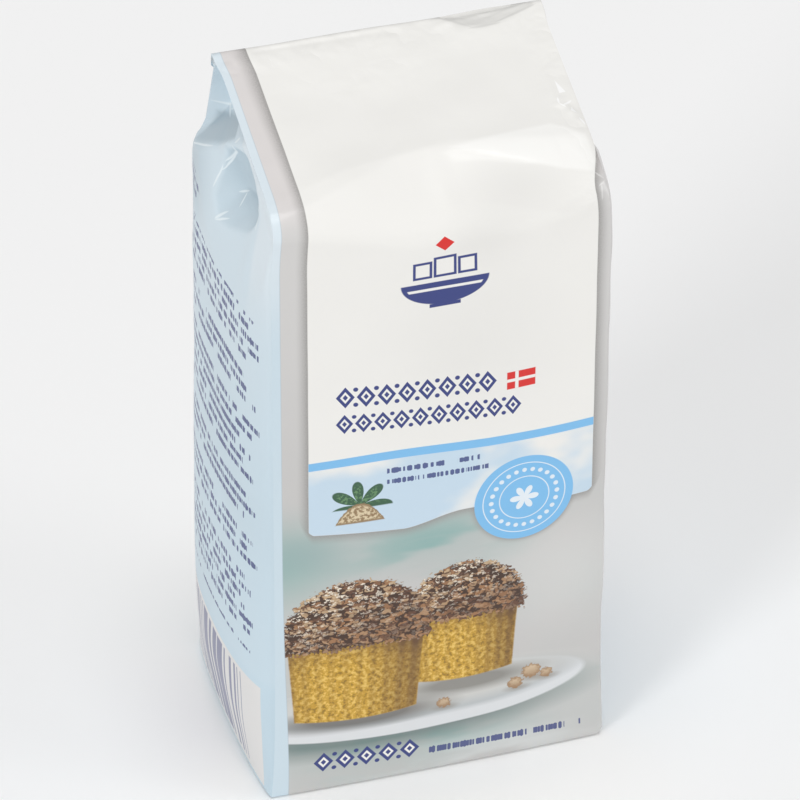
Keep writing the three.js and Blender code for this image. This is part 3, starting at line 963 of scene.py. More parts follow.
    def streak(self, start, end, width):
        """1 along a line between two points, thin at its ends."""
        dx, dy = end[0] - start[0], end[1] - start[1]
        share = (((self.x - start[0]) * dx + (self.y - start[1]) * dy) / (dx * dx + dy * dy)).held()
        away = hypot(self.x - start[0] - share * dx, self.y - start[1] - share * dy)
        thick = (share * (1 - share) * 4).math("SQRT")
        return (thick - away / width).held().smooth(0, 0.8)

    def whiten_and_shine(self, colour, lines, strength):
        """Painted highlights along creases, where the film shines, and its whitening there: start, end and
        width of each.
        """
        marks = None
        for start, end, width in lines:
            mark = self.streak(start, end, width)
            marks = mark if marks is None else marks.more(mark)
        self.lay(colour, marks * strength)

    def strokes(self, seed, row=None):
        """Upright strokes of uneven width, other ones in each row."""
        return self.noise(1.7, 0.0, y_stretch=4.1, seed=seed, height=row or self.y * 0)

    def crinkle(self, pitch, seed):
        """Sharp little folds of crumpled film, from 0 along the folds to about 1."""
        return (self.noise(1 / pitch, 2.0, seed=seed) * 2 - 1).size()

    def bumps(self):
        """Fine unevenness of the film in millimetres: long soft waves, and folds where it is crumpled."""
        height = self.noise(0.1, 1.0, seed=3.0) * SOFT_WAVE
        height = height + self.crinkle(9, 6.0) * (self.crumpled * CRUMPLE + SLIGHT_CRUMPLE)
        height = height + self.raised
        bump = self.tree.nodes.new("ShaderNodeBump")
        bump.inputs["Strength"].default_value = 1.0
        bump.inputs["Distance"].default_value = MM
        self.tree.links.new(height.socket, bump.inputs["Height"])
        return bump.outputs[0]

    def done(self):
        shader = self.tree.nodes.new("ShaderNodeBsdfPrincipled")
        self.tree.links.new(self.colour, shader.inputs["Base Color"])
        shader.inputs["Roughness"].default_value = self.finish.roughness
        shader.inputs["Coat Weight"].default_value = self.finish.coat
        shader.inputs["Coat Roughness"].default_value = self.finish.coat_roughness
        self.tree.links.new(self.bumps(), shader.inputs["Normal"])
        output = self.tree.nodes.new("ShaderNodeOutputMaterial")
        self.tree.links.new(shader.outputs[0], output.inputs[0])
        return self.material


# The crimped seal at the end of the flap, in millimetres.
SEAL_LENGTH = 9
CRIMP_PITCH = 1.3
CRIMP_HEIGHT = 0.07
# Heights of the film's fine unevenness, in millimetres.
SOFT_WAVE = 0.16
CRUMPLE = 1.3
SLIGHT_CRUMPLE = 0.05

# Places on the front print, in millimetres.
BLUE_STRIP_EDGE = -35.2
LABEL_LEFT = -29.5
LABEL_RIGHT = 33.9
LABEL_RIGHT_ON_TOP = 37.2
GREY_STRIP = 5.5
LABEL_FOOT = 69.1
STRIPE_TOP = 90.7
STRIPE_SLOPE = 1.3 / 63
STRIPE_HEIGHT = 2.1
ROW_SLOPE = 2.5 / 36
# Heights between which the front's three prints lie, where nothing crosses from one into the next.
FRONT_LOW_TOP = 59
FRONT_MIDDLE_TOP = 92.5
SEAL = (18.2, 71.4, 11.3)


def label_distance(p):
    """Distance outside the white label, whose lower edge is a slow wave."""
    left = (p.x - LABEL_LEFT) * -1
    on_top = p.y.smooth(148, 160)
    right = p.x - (on_top * (LABEL_RIGHT_ON_TOP - LABEL_RIGHT) + LABEL_RIGHT)
    wave = (-8.7 - p.x).more(0.0) * 0.08 + p.x.smooth(-9, 5) * 2.4 - p.x.smooth(20, 28) * 2.5
    corner = (p.x * -1 - 28.2).more(p.x - 32.6).more(0.001).power(2.0) * 0.55
    bottom = (wave + LABEL_FOOT + corner) - p.y
    return left.more(right).more(bottom)


def ground_print(p, c):
    """The pale grey ground behind the label."""
    p.start(c.grey)
    p.lay((0.74, 0.7, 0.69), p.y.smooth(148, 156) * 0.75)
    p.lay(darker(c.grey, 0.82), p.y.smooth(140, 70) * 0.6)


def cloth_print(p, c):
    """Teal and white washes of the cloth round the plate."""
    wisps = p.noise(0.06, 3.0, x_stretch=0.55, y_stretch=1.8, seed=4.0).smooth(0.4, 0.64)
    soft = p.noise(0.045, 1.0, seed=9.0).smooth(0.3, 0.7)
    p.lay((0.55, 0.57, 0.56), p.y.smooth(78, 60) * soft * 0.7)
    p.lay(c.teal, p.glow(-2, 64, 34, 13) * (wisps * 0.6 + 0.3))
    p.lay(c.teal, p.glow(-36, 64, 24, 18) * 0.75)
    p.lay((0.3, 0.42, 0.42), p.glow(-30, 66, 14, 8) * 0.5)
    p.lay((0.8, 0.8, 0.78), p.glow(28, 50, 26, 24) * 0.35)
    p.lay(c.teal, p.glow(-12, 10, 44, 13) * (wisps * 0.65 + 0.3))
    p.lay(c.teal, p.glow(30, 18, 16, 8) * (wisps * 0.5 + 0.1))
    p.lay((0.78, 0.8, 0.8), p.glow(6, 3, 40, 7) * wisps * 0.6)


def plate_print(p, c):
    """A white oval plate seen from the side, with its rim and the shadow under it."""
    p.lay((0.07, 0.13, 0.125), p.edge(p.oval(-14, 17.8, 42, 8.2), 4.5) * 0.7)
    p.lay(c.plate, p.edge(p.oval(-8, 21.2, 41, 8.3), 0.3))
    p.lay((0.42, 0.45, 0.46), p.edge(p.oval(-8, 22.9, 38.6, 6.6), 1.3) * 0.75)
    p.lay((0.62, 0.62, 0.6), p.edge(p.oval(-7, 24.0, 35, 5.4), 2.4))


def bun_print(p, c, x, y, half_width, height, seed):
    """A golden bun in a pleated case, with a thick crust of brown sugar crumbs."""
    pores = p.noise(0.9, 2.0, seed=seed, roughness=0.65)
    rise = (p.y - y) / height
    side = (p.x - x).size() - (rise * 0.12 + 0.86) * half_width
    foot = ((p.x - x) * (p.x - x) * (0.11 / half_width) + y) - p.y
    body = side.more(foot).more(p.y - y - height)
    turned = ((p.x - x) / half_width + 0.25).size().smooth(0.2, 1.15)
    deep = darker(c.crumb, 0.42)
    pale = (0.82, 0.55, 0.13)
    inside = p.edge(body, 0.35)
    p.lay(p.blend(c.crumb, pale, pores.smooth(0.48, 0.66)), inside)
    p.lay(deep, inside * pores.smooth(0.46, 0.3) * 0.8)
    pleat = ((p.x - x) / (rise * 0.12 + 0.86) * (30 / half_width)).math("SINE").smooth(-0.8, 1.0)
    p.lay((0.13, 0.06, 0.02), inside * (turned * 0.62 + pleat * 0.16 + rise.smooth(0.55, 1.0) * 0.5).held())
    lumps, shade, tint = p.cells(0.6, seed, 1.35)
    fine, fine_shade, _ = p.cells(1.15, seed + 3.0, 1.3)
    rough = lumps * 1.5 + fine * 0.5
    top = p.oval(x, y + 0.93 * height, 1.1 * half_width, 0.62 * height)
    hem = ((p.x - x) * (0.4 * half_width)).math("SINE") * 0.3 - p.y + (y + 0.8 * height)
    crust = p.edge(top.more(hem) - rough + 1.0, 0.35)
    lit = ((p.y - y - height) / (0.6 * height) - (p.x - x) * (0.35 / half_width) + 0.2).held()
    p.lay((0.05, 0.02, 0.009), crust)
    p.lay(p.blend(c.crust, (0.34, 0.17, 0.075), shade.smooth(0.25, 0.8)), crust * lumps.smooth(0.26, 0.58))
    p.lay((0.56, 0.4, 0.24), crust * lumps.smooth(0.36, 0.7) * tint.smooth(0.42, 0.66) * (lit * 0.8 + 0.25))
    crystals = crust * fine.smooth(0.35, 0.7) * fine_shade.smooth(0.55, 0.72)
    p.lay((0.82, 0.74, 0.62), crystals * (lit * 0.9 + 0.12))


def sugar_lump(p, x, y, half):
    """A small lump of sugar on the plate."""
    grain = p.noise(1.6, 1.0, seed=x)
    lump = hypot((p.x - x) * 0.85, p.y - y) - half + (grain - 0.5) * 1.2
    p.lay((0.2, 0.15, 0.1), p.edge(p.oval(x + 0.5, y - half, half * 1.3, half * 0.4), 1.2) * 0.6)
    p.lay((0.34, 0.2, 0.1), p.edge(lump, 0.3))
    p.lay((0.7, 0.55, 0.38), p.edge(lump + 0.5, 0.9) * ((p.y - y) / half * 0.5 + 0.55).held())


def picture_print(p, c):
    """Buns and lumps of brown sugar on a white plate."""
    plate_print(p, c)
    p.lay((0.16, 0.15, 0.13), p.edge(p.oval(6, 24.2, 14, 2.6), 2.2) * 0.75)
    bun_print(p, c, 5.2, 25.5, 12.4, 20.5, 2.0)
    p.lay((0.1, 0.09, 0.08), p.edge(p.oval(-18.5, 19.6, 17.5, 3.0), 2.4) * 0.8)
    bun_print(p, c, -19.3, 19.2, 15.6, 24.5, 4.0)
    for x, y, half in ((20.5, 23.4, 1.9), (24.0, 21.9, 1.3), (16.8, 21.0, 1.5), (0.5, 19.4, 1.4)):
        sugar_lump(p, x, y, half)


# Painted shade: stretches of the label laid a little darker where its hollows and shoulder fall into shade.
# Share of its white, place with reach, and strength.
LABEL_PAINTED_SHADE = (
    (0.93, (6, 112, 30, 34), 0.7),
    (0.9, (17, 152, 19, 13), 0.9),
    (0.91, (9, 140, 14, 12), 0.75),
)


def stripe_sag(p):
    """How far the stripe is bent down, so that it looks straight on the swollen film."""
    right = (p.x - 10).more(0.001).power(2.0) * 0.0023
    left = (10 - p.x).more(0.0) * 0.035
    return 0.8 - right - left + (p.x - 2) * (p.x - 2) * 0.00144


def label_print(p, c):
    """The white label with its printed shadow and painted soft shade, the pale blue panel and the stripe."""
    outside = label_distance(p)
    grain = p.noise(3.2, 1.0, seed=8.0)
    reach = p.y.smooth(150, 190) * -0.11 + 0.39
    fall = (1 - outside * reach).held()
    p.lay(c.shadow, (fall.power(1.4) * (grain * 0.6 + 0.7)).held() * 0.88)
    on_label = p.edge(outside)
    p.lay(c.label, on_label)
    # Painted shade laid over the label's white.
    for share, place, strength in LABEL_PAINTED_SHADE:
        p.lay(darker(c.label, share), p.glow(*place) * on_label * strength)
    stripe_top = (p.x - LABEL_LEFT) * -STRIPE_SLOPE + STRIPE_TOP - stripe_sag(p)
    under = p.edge(p.y - stripe_top) * on_label
    clouds = p.noise(0.055, 3.0, x_stretch=0.7, seed=2.0)
    p.lay(p.blend(c.cloud, c.label, clouds.smooth(0.42, 0.68)), under)
    p.lay(c.sky, p.edge(stripe_top - STRIPE_HEIGHT - p.y) * under)


def seal_print(p, c):
    """A round sky blue seal with rings, a ring of dots and six petals."""
    x, y, radius = SEAL
    away = hypot(p.x - x, (p.y - y) * 1.05)
    halo = ((away - radius) * -0.6 + 1).held()
    p.lay(c.shadow, halo * halo * p.edge(label_distance(p) * -1) * 0.75)
    p.lay(c.sky, p.edge(away - radius))
    white = (0.86, 0.9, 0.93)
    for share in (0.83, 0.5):
        p.lay(white, p.edge((away - radius * share).size() - 0.11) * 0.9)
    angle = (p.y - y).math("ARCTAN2", p.x - x)
    turn = math.radians(15)
    along = angle.repeat(turn) * (radius * 0.665)
    dots = hypot(along, away - radius * 0.665) - 0.55
    p.lay(white, p.edge(dots) * 0.85)
    petal = (angle * 3).math("COSINE").size() * (radius * 0.2) + radius * 0.09
    p.lay(white, p.edge(away - petal) * 0.9)


def ornament_row(p, c, x_from, x_to, y, height, pitch, slope=STRIPE_SLOPE):
    """A slightly falling row of lozenges, with two dots between each two of them."""
    middle = (x_from + x_to) / 2
    inside = p.edge((p.x - middle).size() - (x_to - x_from) / 2)
    across = (p.x - x_from - pitch / 2).repeat(pitch)
    rise = p.y - y + (p.x - middle) * slope
    lozenge = across.size() * (height / pitch * 1.1) + rise.size() - height / 2
    p.lay(c.navy, p.edge(lozenge) * inside)
    p.lay(c.label, p.edge(lozenge + height * 0.22) * inside)
    p.lay(c.navy, p.edge(lozenge + height * 0.36) * inside)
    between = (p.x - x_from).repeat(pitch)
    dots = hypot(between, rise.size() - height * 0.36) - height * 0.1
    within = p.edge((p.x - middle).size() - (x_to - x_from - pitch) / 2)
    p.lay(c.navy, p.edge(dots) * within)


def small_line(p, c, x_from, x_to, y, height, seed):
    """A fine row of upright strokes in groups of uneven length."""
    gaps = p.noise(0.3, 0.0, y_stretch=0.0, seed=seed + 3.0)
    strokes = p.strokes(seed)
    rise = (p.y - y + (p.x - x_from) * STRIPE_SLOPE).size() - (strokes * 0.5 + 0.3) * height
    inside = p.edge((p.x - (x_from + x_to) / 2).size() - (x_to - x_from) / 2)
    p.lay(c.navy, p.edge(rise, 0.12) * inside * strokes.smooth(0.36, 0.42) * gaps.smooth(0.36, 0.38) * 0.9)


def emblem_print(p, c):
    """A plain emblem: three sugar lumps in a shallow bowl, under a red lozenge."""
    bowl = p.oval(0, 131.6, 9.6, 5.6).more(p.y - 131.6)
    p.lay(c.navy, p.edge(bowl))
    p.lay(c.label, p.edge(bowl + 0.6) * p.edge((p.y - 129.9).size() - 0.32))
    p.lay(c.navy, p.edge(p.box(0, 125.8, 3.4, 0.45)))
    for x, y, half in ((-4.9, 134.8, 2.1), (0, 135.2, 2.5), (4.9, 134.8, 2.1)):
        lump = p.box(x, y, half, half)
        p.lay(c.navy, p.edge(lump))
        p.lay(c.label, p.edge(lump + 0.6))
    p.lay(c.red, p.edge(p.x.size() + (p.y - 141.2).size() - 2.1))


def flag_print(p, c):
    """A small red field with a pale cross."""
    field = p.box(17.1, 102.8, 3.2, 2.2)
    p.lay(c.red, p.edge(field))
    cross_bar = ((p.x - 16.1).size() - 0.38).less((p.y - 102.8).size() - 0.38)
    p.lay(c.label, p.edge(field.more(cross_bar)))


def sprig_print(p, c):
    """A tuft of green leaves over a small heap of sugar."""
    x, y = -18.4, 77.2
    away = hypot(p.x - x, (p.y - y) * 1.15)
    angle = (p.y - y).math("ARCTAN2", p.x - x)
    veins = p.noise(1.4, 2.0, seed=12.0)
    leaf = (angle * 3.5 + 0.4).math("COSINE").size().power(0.7) * 6.4 + 0.8
    upper = away - leaf
    p.lay(c.leaf, p.edge(upper.more((y - 0.8) - p.y), 0.3))
    p.lay((0.16, 0.32, 0.14), p.edge(upper.more((y - 0.8) - p.y) + 1.2, 1.2) * veins.smooth(0.48, 0.6) * 0.7)
    heap = (p.y - y + 4.6) + (p.x - x) * (p.x - x) * 0.17 - 5.0 + (veins - 0.5) * 0.8
    heap = heap.more((y - 4.6) - p.y)
    p.lay((0.3, 0.2, 0.1), p.edge(heap, 0.3))
    p.lay((0.72, 0.6, 0.4), p.edge(heap + 0.5, 0.5) * veins.smooth(0.4, 0.6))


def edge_strips(p, c):
    """The light blue strip inside the left crease, paler at the shoulder as a painted highlight, with a thin
    dark border.
    """
    low = (p.y * (-1 / 65) + 1).more(0.001).power(2.0)
    edge = p.x - BLUE_STRIP_EDGE - low * 1.95
    p.lay(greyer(c.side, 0.9, 0.15), p.edge(edge))
    # Painted highlight: the strip is laid paler where it bends over the shoulder.
    p.lay(greyer(c.side, 0.95, 0.45), p.edge(edge) * p.y.smooth(118, 142) * 0.75)
    p.lay((0.38, 0.46, 0.54), p.edge(edge.size() - 0.07, 0.2) * 0.5)


# Painted highlights along creases of the front, where the film also whitens: start, end and width in
# millimetres.
FRONT_CREASES = (
    ((32.7, 171.4), (32.5, 169.4), 0.35),
    ((32.5, 169.6), (33.8, 168.4), 0.3),
    ((33.0, 168.8), (35.7, 170.2), 0.35),
    ((35.7, 165.4), (36.5, 163.2), 0.4),
)
# Small facets of the crumpled right edge that shine, painted as highlights, as convex outlines.
FRONT_GLINTS = (
    ((33.4, 172.3), (35.2, 172.5), (33.5, 176.6)),
    ((34.3, 167.2), (35.9, 166.4), (35.0, 168.8)),
)
# The stretch along the ridge that is bent back, laid greyer as painted shade, as a convex outline.
BENT_RIDGE = (
    (12.5, 199), (13.8, 197.6), (15.9, 195.9), (18.2, 194.4), (20.5, 193.6), (22.9, 193.4),
    (26, 193.6), (30, 194.7), (35.3, 196.5), (36.2, 204), (9, 204),
)
# The shoulder's facet, which catches the light, with a painted highlight laid over it, as a convex outline.
BRIGHT_FACET = (
    (3.4, 163.6), (9, 161.2), (16, 158.4), (27, 153.9),
    (35, 152), (36.6, 155), (36.2, 161), (29, 165.2),
)
# Painted shade in the folds along the bent stretch, as darker lines: start, end, width and strength.
RIDGE_LINES = (
    ((13.2, 198.0), (20.5, 193.4), 0.6, 0.35),
    ((19, 193.4), (27, 193.6), 0.6, 0.4),
    ((25, 193.8), (36, 197.2), 0.5, 0.4),
)
# Painted highlights on faint creases beside the right shoulder: start and end.
CORNER_CREASES = (
    ((34.8, 148.8), (37, 150.3)),
    ((34.6, 152.6), (36.8, 150.4)),
    ((35.6, 149.4), (35.0, 144.6)),
)


def front_crumples_and_painted_light(p, c):
    """The front's crumples along the ridge, at the right edge of the top and at the shoulder's corners, with
    their painted shade and painted highlights.
    """
    # Painted shade on the bent-back stretch of the ridge.
    p.lay(darker(c.label, 0.82), p.within(BENT_RIDGE, 0.8) * p.y.smooth(203.5, 200) * 0.72)
    # Painted shade in the ridge's folds: thin darker lines, then one wider faint line.
    for start, end, width, strength in RIDGE_LINES:
        p.lay(darker(c.label, 0.66), p.streak(start, end, width) * strength)
    p.lay(darker(c.label, 0.95), p.streak((24.5, 195.4), (35.5, 198.2), 0.9) * 0.7)
    # Painted highlight on the shoulder's facet.
    p.lay((0.96, 0.955, 0.93), p.within(BRIGHT_FACET, 1.2) * 0.68)
    # Painted highlights along the creases beside the right shoulder.
    for start, end in CORNER_CREASES:
        p.lay((0.82, 0.81, 0.8), p.streak(start, end, 0.35) * 0.45)
    # Painted highlights along the front's creases and on its shining facets.
    p.whiten_and_shine((1, 1, 1), FRONT_CREASES, 0.85)
    for corners in FRONT_GLINTS:
        p.lay((1, 1, 1), p.within(corners, 0.25) * 0.85)
    ridge = p.y.smooth(188, 197) * 0.35
    right = (p.x.smooth(27, 37) * p.y.smooth(150, 160)) * 0.3
    corner = p.glow(37, 150, 12, 14) * 0.35
    p.crumpled = ridge.more(right).more(corner).more(p.glow(-4, 185, 26, 8) * 0.12)


def front_top_print(c, finish, film_end):
    """The front above the panel, over the shoulder and the ridge to the sealed end of the flap."""
    p = Print("front_top_print", finish, FRONT_FILM / 2)
    ground_print(p, c)
    label_print(p, c)
    emblem_print(p, c)
    ornament_row(p, c, -23.8, 11.8, 104.8, 5.4, 4.45, ROW_SLOPE)
    ornament_row(p, c, -23.8, 17.4, 97.7, 5.0, 4.12, ROW_SLOPE)
    flag_print(p, c)
    edge_strips(p, c)
    front_crumples_and_painted_light(p, c)
    crimps = (p.y * (2 * math.pi / CRIMP_PITCH)).math("SINE") * CRIMP_HEIGHT
    p.raised = crimps * p.edge(film_end - SEAL_LENGTH - p.y)
    return p.done()


def front_middle_print(c, finish):
    """The pale blue panel under the stripe, with the seal and the leaves."""
    p = Print("front_middle_print", finish, FRONT_FILM / 2)
    ground_print(p, c)
    cloth_print(p, c)
    label_print(p, c)
    seal_print(p, c)
    small_line(p, c, -12.5, 8.0, 85.0, 1.0, 21.0)
    small_line(p, c, -12.5, 10.0, 82.2, 1.0, 24.0)
    sprig_print(p, c)
    edge_strips(p, c)
    return p.done()


def front_low_print(c, finish):
    """The picture of buns on a plate, and the marks at the foot."""
    p = Print("front_low_print", finish, FRONT_FILM / 2)
    ground_print(p, c)
    cloth_print(p, c)
    picture_print(p, c)
    ornament_row(p, c, -28.5, -4.5, 8.0, 5.4, 4.8)
    small_line(p, c, -2.5, 32.0, 6.2, 1.5, 27.0)
    edge_strips(p, c)
    return p.done()


def stroke_rows(p, colour, x_from, x_to, y_from, y_to, pitch, seed):
    """Rows of fine upright strokes in groups. The rows' ends are ragged, and some rows are left out."""
    row = (p.y - y_from).index(pitch)
    strokes = p.strokes(seed + 7.0, row)
    rise = (p.y - y_from).repeat(pitch).size() - (strokes * 0.34 + 0.07) * pitch
    gaps = p.noise(0.32, 1.0, seed=seed, height=row * 7.7)
    raggedness = ((row * 2.4).math("SINE") + (row * 0.9).math("SINE")) * 2.6
    kept = (row * 1.7).math("SINE").smooth(0.86, 0.8)
    inside = p.edge((p.x * -1) + x_from - raggedness).less(p.edge(p.x - x_to))
    inside = inside * p.edge((p.y - (y_from + y_to) / 2).size() - (y_to - y_from) / 2)
    groups = gaps.smooth(0.37, 0.39) * strokes.smooth(0.33, 0.39)
    p.lay(colour, p.edge(rise, 0.14) * inside * kept * groups * 0.92)


def side_print(c, finish, name, centre, mirrored):
    """The light blue ground of a side. x runs back from the front crease."""
    p = Print(name, finish, centre)
    if mirrored:
        p.x = p.x * -1
    p.start(c.side)
    tone = p.noise(0.03, 1.0, seed=2.0)
    p.lay(darker(c.side, 0.93), tone.smooth(0.4, 0.7) * 0.5)
    return p


def side_rows(p, c):
    """Rows of strokes over the middle and at the rear top of a gusset."""
    ink = greyer(c.navy, 0.05, 0.1)
    stroke_rows(p, ink, 7, 55.5, 36, 124, 2.75, 31.0)
    stroke_rows(p, ink, 47, 55.5, 124.4, 135, 2.75, 35.0)


# The colour laid along a crease of the light blue sides: painted highlight and whitened film.
WHITENED_AND_SHINING_SIDE = (0.86, 0.93, 0.96)
# Painted shade on the left gusset's facet above the pit, which lies in shade, as a convex outline.
LEFT_FACET = ((24, 159.6), (40.3, 148), (57.5, 137.5), (57.5, 149), (33, 163.5))
# Painted highlights along creases of the left gusset, where the film also whitens: start, end and width,
# across from its front crease.
LEFT_CREASES = (
    ((25.2, 158.2), (34.6, 147.5), 0.5),
    ((27.5, 156.2), (36.0, 144.0), 0.35),
    ((35.2, 147.0), (36.4, 139.0), 0.5),
    ((32.6, 133.2), (29.2, 137.2), 0.55),
    ((32.6, 133.0), (27.0, 136.6), 0.4),
    ((30.4, 141.6), (27.6, 143.6), 0.45),
    ((28.2, 143.0), (27.0, 139.4), 0.4),
    ((9.9, 156.5), (9.7, 151.5), 0.35),
    ((9.8, 151.8), (11.2, 147.4), 0.4),
    ((11.2, 147.6), (11.3, 143.0), 0.35),
    ((59, 151.2), (45, 153.4), 0.7),
    ((52, 151.6), (32, 164.6), 0.6),
    ((45, 158.4), (36, 166.0), 0.45),
    ((24, 159.6), (17.5, 164.6), 0.6),
    ((57, 138.2), (42, 147.2), 0.4),
)


def left_print(c, finish):
    """The left gusset: strokes, a pale field with bars, and painted shade and highlights on facets, pit and
    creases.
    """
    p = side_print(c, finish, "left_print", FILM_AROUND, True)
    p.lay((0.74, 0.73, 0.72), p.edge(p.box(30.2, 15.2, 27, 13.8)))
    bars = p.noise(1.25, 0.0, y_stretch=0.0, seed=41.0)
    p.lay(c.navy, p.edge(p.box(34.2, 15.4, 22.6, 12.4)) * bars.smooth(0.48, 0.51) * 0.7)
    # Painted light: the side is laid paler above the pale field, more so higher up.
    p.lay(greyer(c.side, 0.95, 0.35), (p.y.smooth(70, 135) * 0.42 + 0.2) * p.y.smooth(29, 33))
    # Painted shade: the facet above the pit, then the stretch beside it.
    p.lay(darker(c.side, 0.72), p.within(LEFT_FACET, 2.2) * 0.9)
    p.lay(darker(c.side, 0.76), p.glow(52, 134, 19, 17) * 0.8)
    side_rows(p, c)
    # Painted shade in the pit, deeper in its upper part.
    pit_outline = tuple(corner[:2] for corner in PIT_CORNERS)
    deep = p.y.smooth(139, 148) * 0.35 + 0.35
    p.lay(darker(c.side, 0.8), p.within(pit_outline, 1.6) * deep)
    # Painted highlight on the strip beside the front crease, paler where it bends over the shoulder.
    p.lay(greyer(c.side, 0.95, 0.45), p.x.smooth(11, 8.5) * p.y.smooth(118, 142) * 0.75)
    # Painted highlights along the left gusset's creases.
    p.whiten_and_shine(WHITENED_AND_SHINING_SIDE, LEFT_CREASES, 0.7)
    gathered = p.y.smooth(160, 172) * p.x.smooth(12, 24) * 0.6
    p.crumpled = gathered.more(p.glow(24, 146, 20, 16) * 0.15)
    return p.done()


def right_print(c, finish):
    """The right gusset: strokes, and the front's grey ground reaching round the crease."""
    p = side_print(c, finish, "right_print", FRONT_FILM, False)
    p.crumpled = p.y.smooth(146, 160) * 0.5
    side_rows(p, c)
    stroke_rows(p, c.navy, 14, 50, 10, 28, 2.75, 45.0)
    reach = p.y.smooth(132, 146) * 16 + (LABEL_RIGHT + GREY_STRIP - FRONT_FILM / 2)
    p.lay(c.grey, p.edge(p.x - reach))
    return p.done()


# Painted highlights along creases at the left end of the flap, on the back film, where the film also
# whitens.
FLAP_CREASES = (
    ((37.0, 184.8), (34.4, 181.4), 0.45),
    ((36.9, 177.0), (34.4, 178.4), 0.35),
    ((36.8, 187.4), (33.0, 188.6), 0.45),
)


def back_print(c, finish):
    """The back: light blue edges, a white field with a stripe and rows of strokes, and the lap seam."""
    p = Print("back_print", finish, 1.5 * FRONT_FILM + GUSSET_FILM)
    p.start(c.side)
    field = p.box(0, 74, 29, 62)
    p.lay(c.label, p.edge(field))
    p.lay(c.sky, p.edge(p.box(0, 126, 29, 1.05)))
    ink = greyer(c.navy, 0.12, 0.15)
    stroke_rows(p, ink, -23, -9, 20, 118, 2.5, 51.0)
    stroke_rows(p, ink, 9, 23, 40, 118, 2.5, 57.0)
    p.lay(darker(c.side, 0.86), p.edge(p.x - 5.2) * p.edge(p.x * -1 - 5.2) * 0.35)
    p.raised = p.edge(p.x.size() - 5.2, 0.5) * 0.25 + p.edge((p.x - 5.6).size() - 0.3, 0.4) * -0.12
    # Painted shade at the left end of the flap.
    p.lay(darker(c.side, 0.76), p.y.smooth(183.5, 186) * p.x.smooth(28, 31) * 0.8)
    # Painted highlights along the creases at the flap's left end.
    p.whiten_and_shine(WHITENED_AND_SHINING_SIDE, FLAP_CREASES, 0.7)
    p.crumpled = p.y.smooth(166, 174) * p.x.size().smooth(24, 34) * 0.5
    return p.done()


def base_print(c, finish):
    """The block bottom: plain light blue with painted shade along its folds."""
    p = Print("base_print", finish, FRONT_FILM / 2)
    place = p.tree.nodes.new("ShaderNodeTexCoord")
    parts = p.tree.nodes.new("ShaderNodeSeparateXYZ")
    p.tree.links.new(place.outputs["Object"], parts.inputs[0])
    p.x = Field(p.tree, parts.outputs[0]) * 1000
    p.y = Field(p.tree, parts.outputs[1]) * 1000
    p.start(c.side)
    triangle = (p.x.size() * -1 + 10) + p.y.size()
    fin = p.box(0, 3, 38, 5)
    p.raised = p.edge(triangle, 0.6) * 0.3
    p.raised = p.raised.more(p.edge(fin, 0.6) * 0.55 + p.edge(p.box(0, -9, 50, 7), 0.6) * 0.15)
    crimps = (p.y * 4.4).math("SINE") * 0.05
    p.raised = p.raised + crimps * p.edge(fin, 0.6)
    # Painted shade along the edges of the folds.
    p.lay(darker(c.side, 0.8), (p.edge(triangle.size() - 0.25, 0.4)).more(p.edge(fin.size() - 0.2, 0.4)))
    p.crumpled = p.x * 0 + 0.06
    return p.done()


BASE_PRINT, MIDDLE_PRINT, LOW_PRINT = 4, 5, 6


def assign_prints(pouch, colours, finish, film_end):
    """Gives each panel of the film its print."""
    mesh = pouch.data
    for material in (
        front_top_print(colours, finish, film_end),
        right_print(colours, finish),
        back_print(colours, finish),
        left_print(colours, finish),
        base_print(colours, finish),
        front_middle_print(colours, finish),
        front_low_print(colours, finish),
    ):
        mesh.materials.append(material)
    starts = np.array(PANEL_STARTS) / FILM_AROUND
    uv = np.zeros(len(mesh.loops) * 2)
    mesh.uv_layers["Film"].uv.foreach_get("vector", uv)
    first = np.zeros(len(mesh.polygons), int)
    count = np.zeros(len(mesh.polygons), int)
    mesh.polygons.foreach_get("loop_start", first)
    mesh.polygons.foreach_get("loop_total", count)
    middle = np.add.reduceat(uv.reshape(-1, 2), first, axis=0) / count[:, None]
    panel = np.searchsorted(starts, middle[:, 0], side="right") - 1
    height = middle[:, 1] * FILM_UP - BASE_FILM
    panel = np.where((panel == 0) & (height < FRONT_MIDDLE_TOP), MIDDLE_PRINT, panel)
    panel = np.where((panel == MIDDLE_PRINT) & (height < FRONT_LOW_TOP), LOW_PRINT, panel)
    panel = np.where(height < -0.05, BASE_PRINT, panel)
    mesh.polygons.foreach_set("material_index", panel.astype(np.int32))
    mesh.update()


class POUCH_OT_film(bpy.types.Operator):
    """Model the printed film of the pouch, filled and folded shut"""

    bl_idname = "pouch.film"
    bl_label = "Printed pouch"

    def execute(self, context):
        sizes = context.scene.pouch_sizes
        columns = 2 * PANEL_COLUMNS + 2 * GUSSET_COLUMNS
        rows = BASE_ROWS + FOOT_ROWS + BODY_ROWS + UPPER_ROWS + RIDGE_ROWS + FLAP_ROWS + END_ROWS
        pouch = flat_sheet(columns, rows)
        film = fold_into_pouch(pouch, sizes)
        close_and_smooth(pouch)
        colours, finish = context.scene.pouch_colours, context.scene.pouch_finish
        assign_prints(pouch, colours, finish, film.front_end / MM)
        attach(pouch, "root")
        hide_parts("pouch")
        return {"FINISHED"}


class POUCH_OT_stage(bpy.types.Operator):
    """Make the pale floor, the soft lights and the camera"""

    bl_idname = "pouch.stage"
    bl_label = "Floor, light and camera"

    def execute(self, context):
        pale_floor()
        soft_lights()
        studio_camera(context.scene)
        return {"FINISHED"}


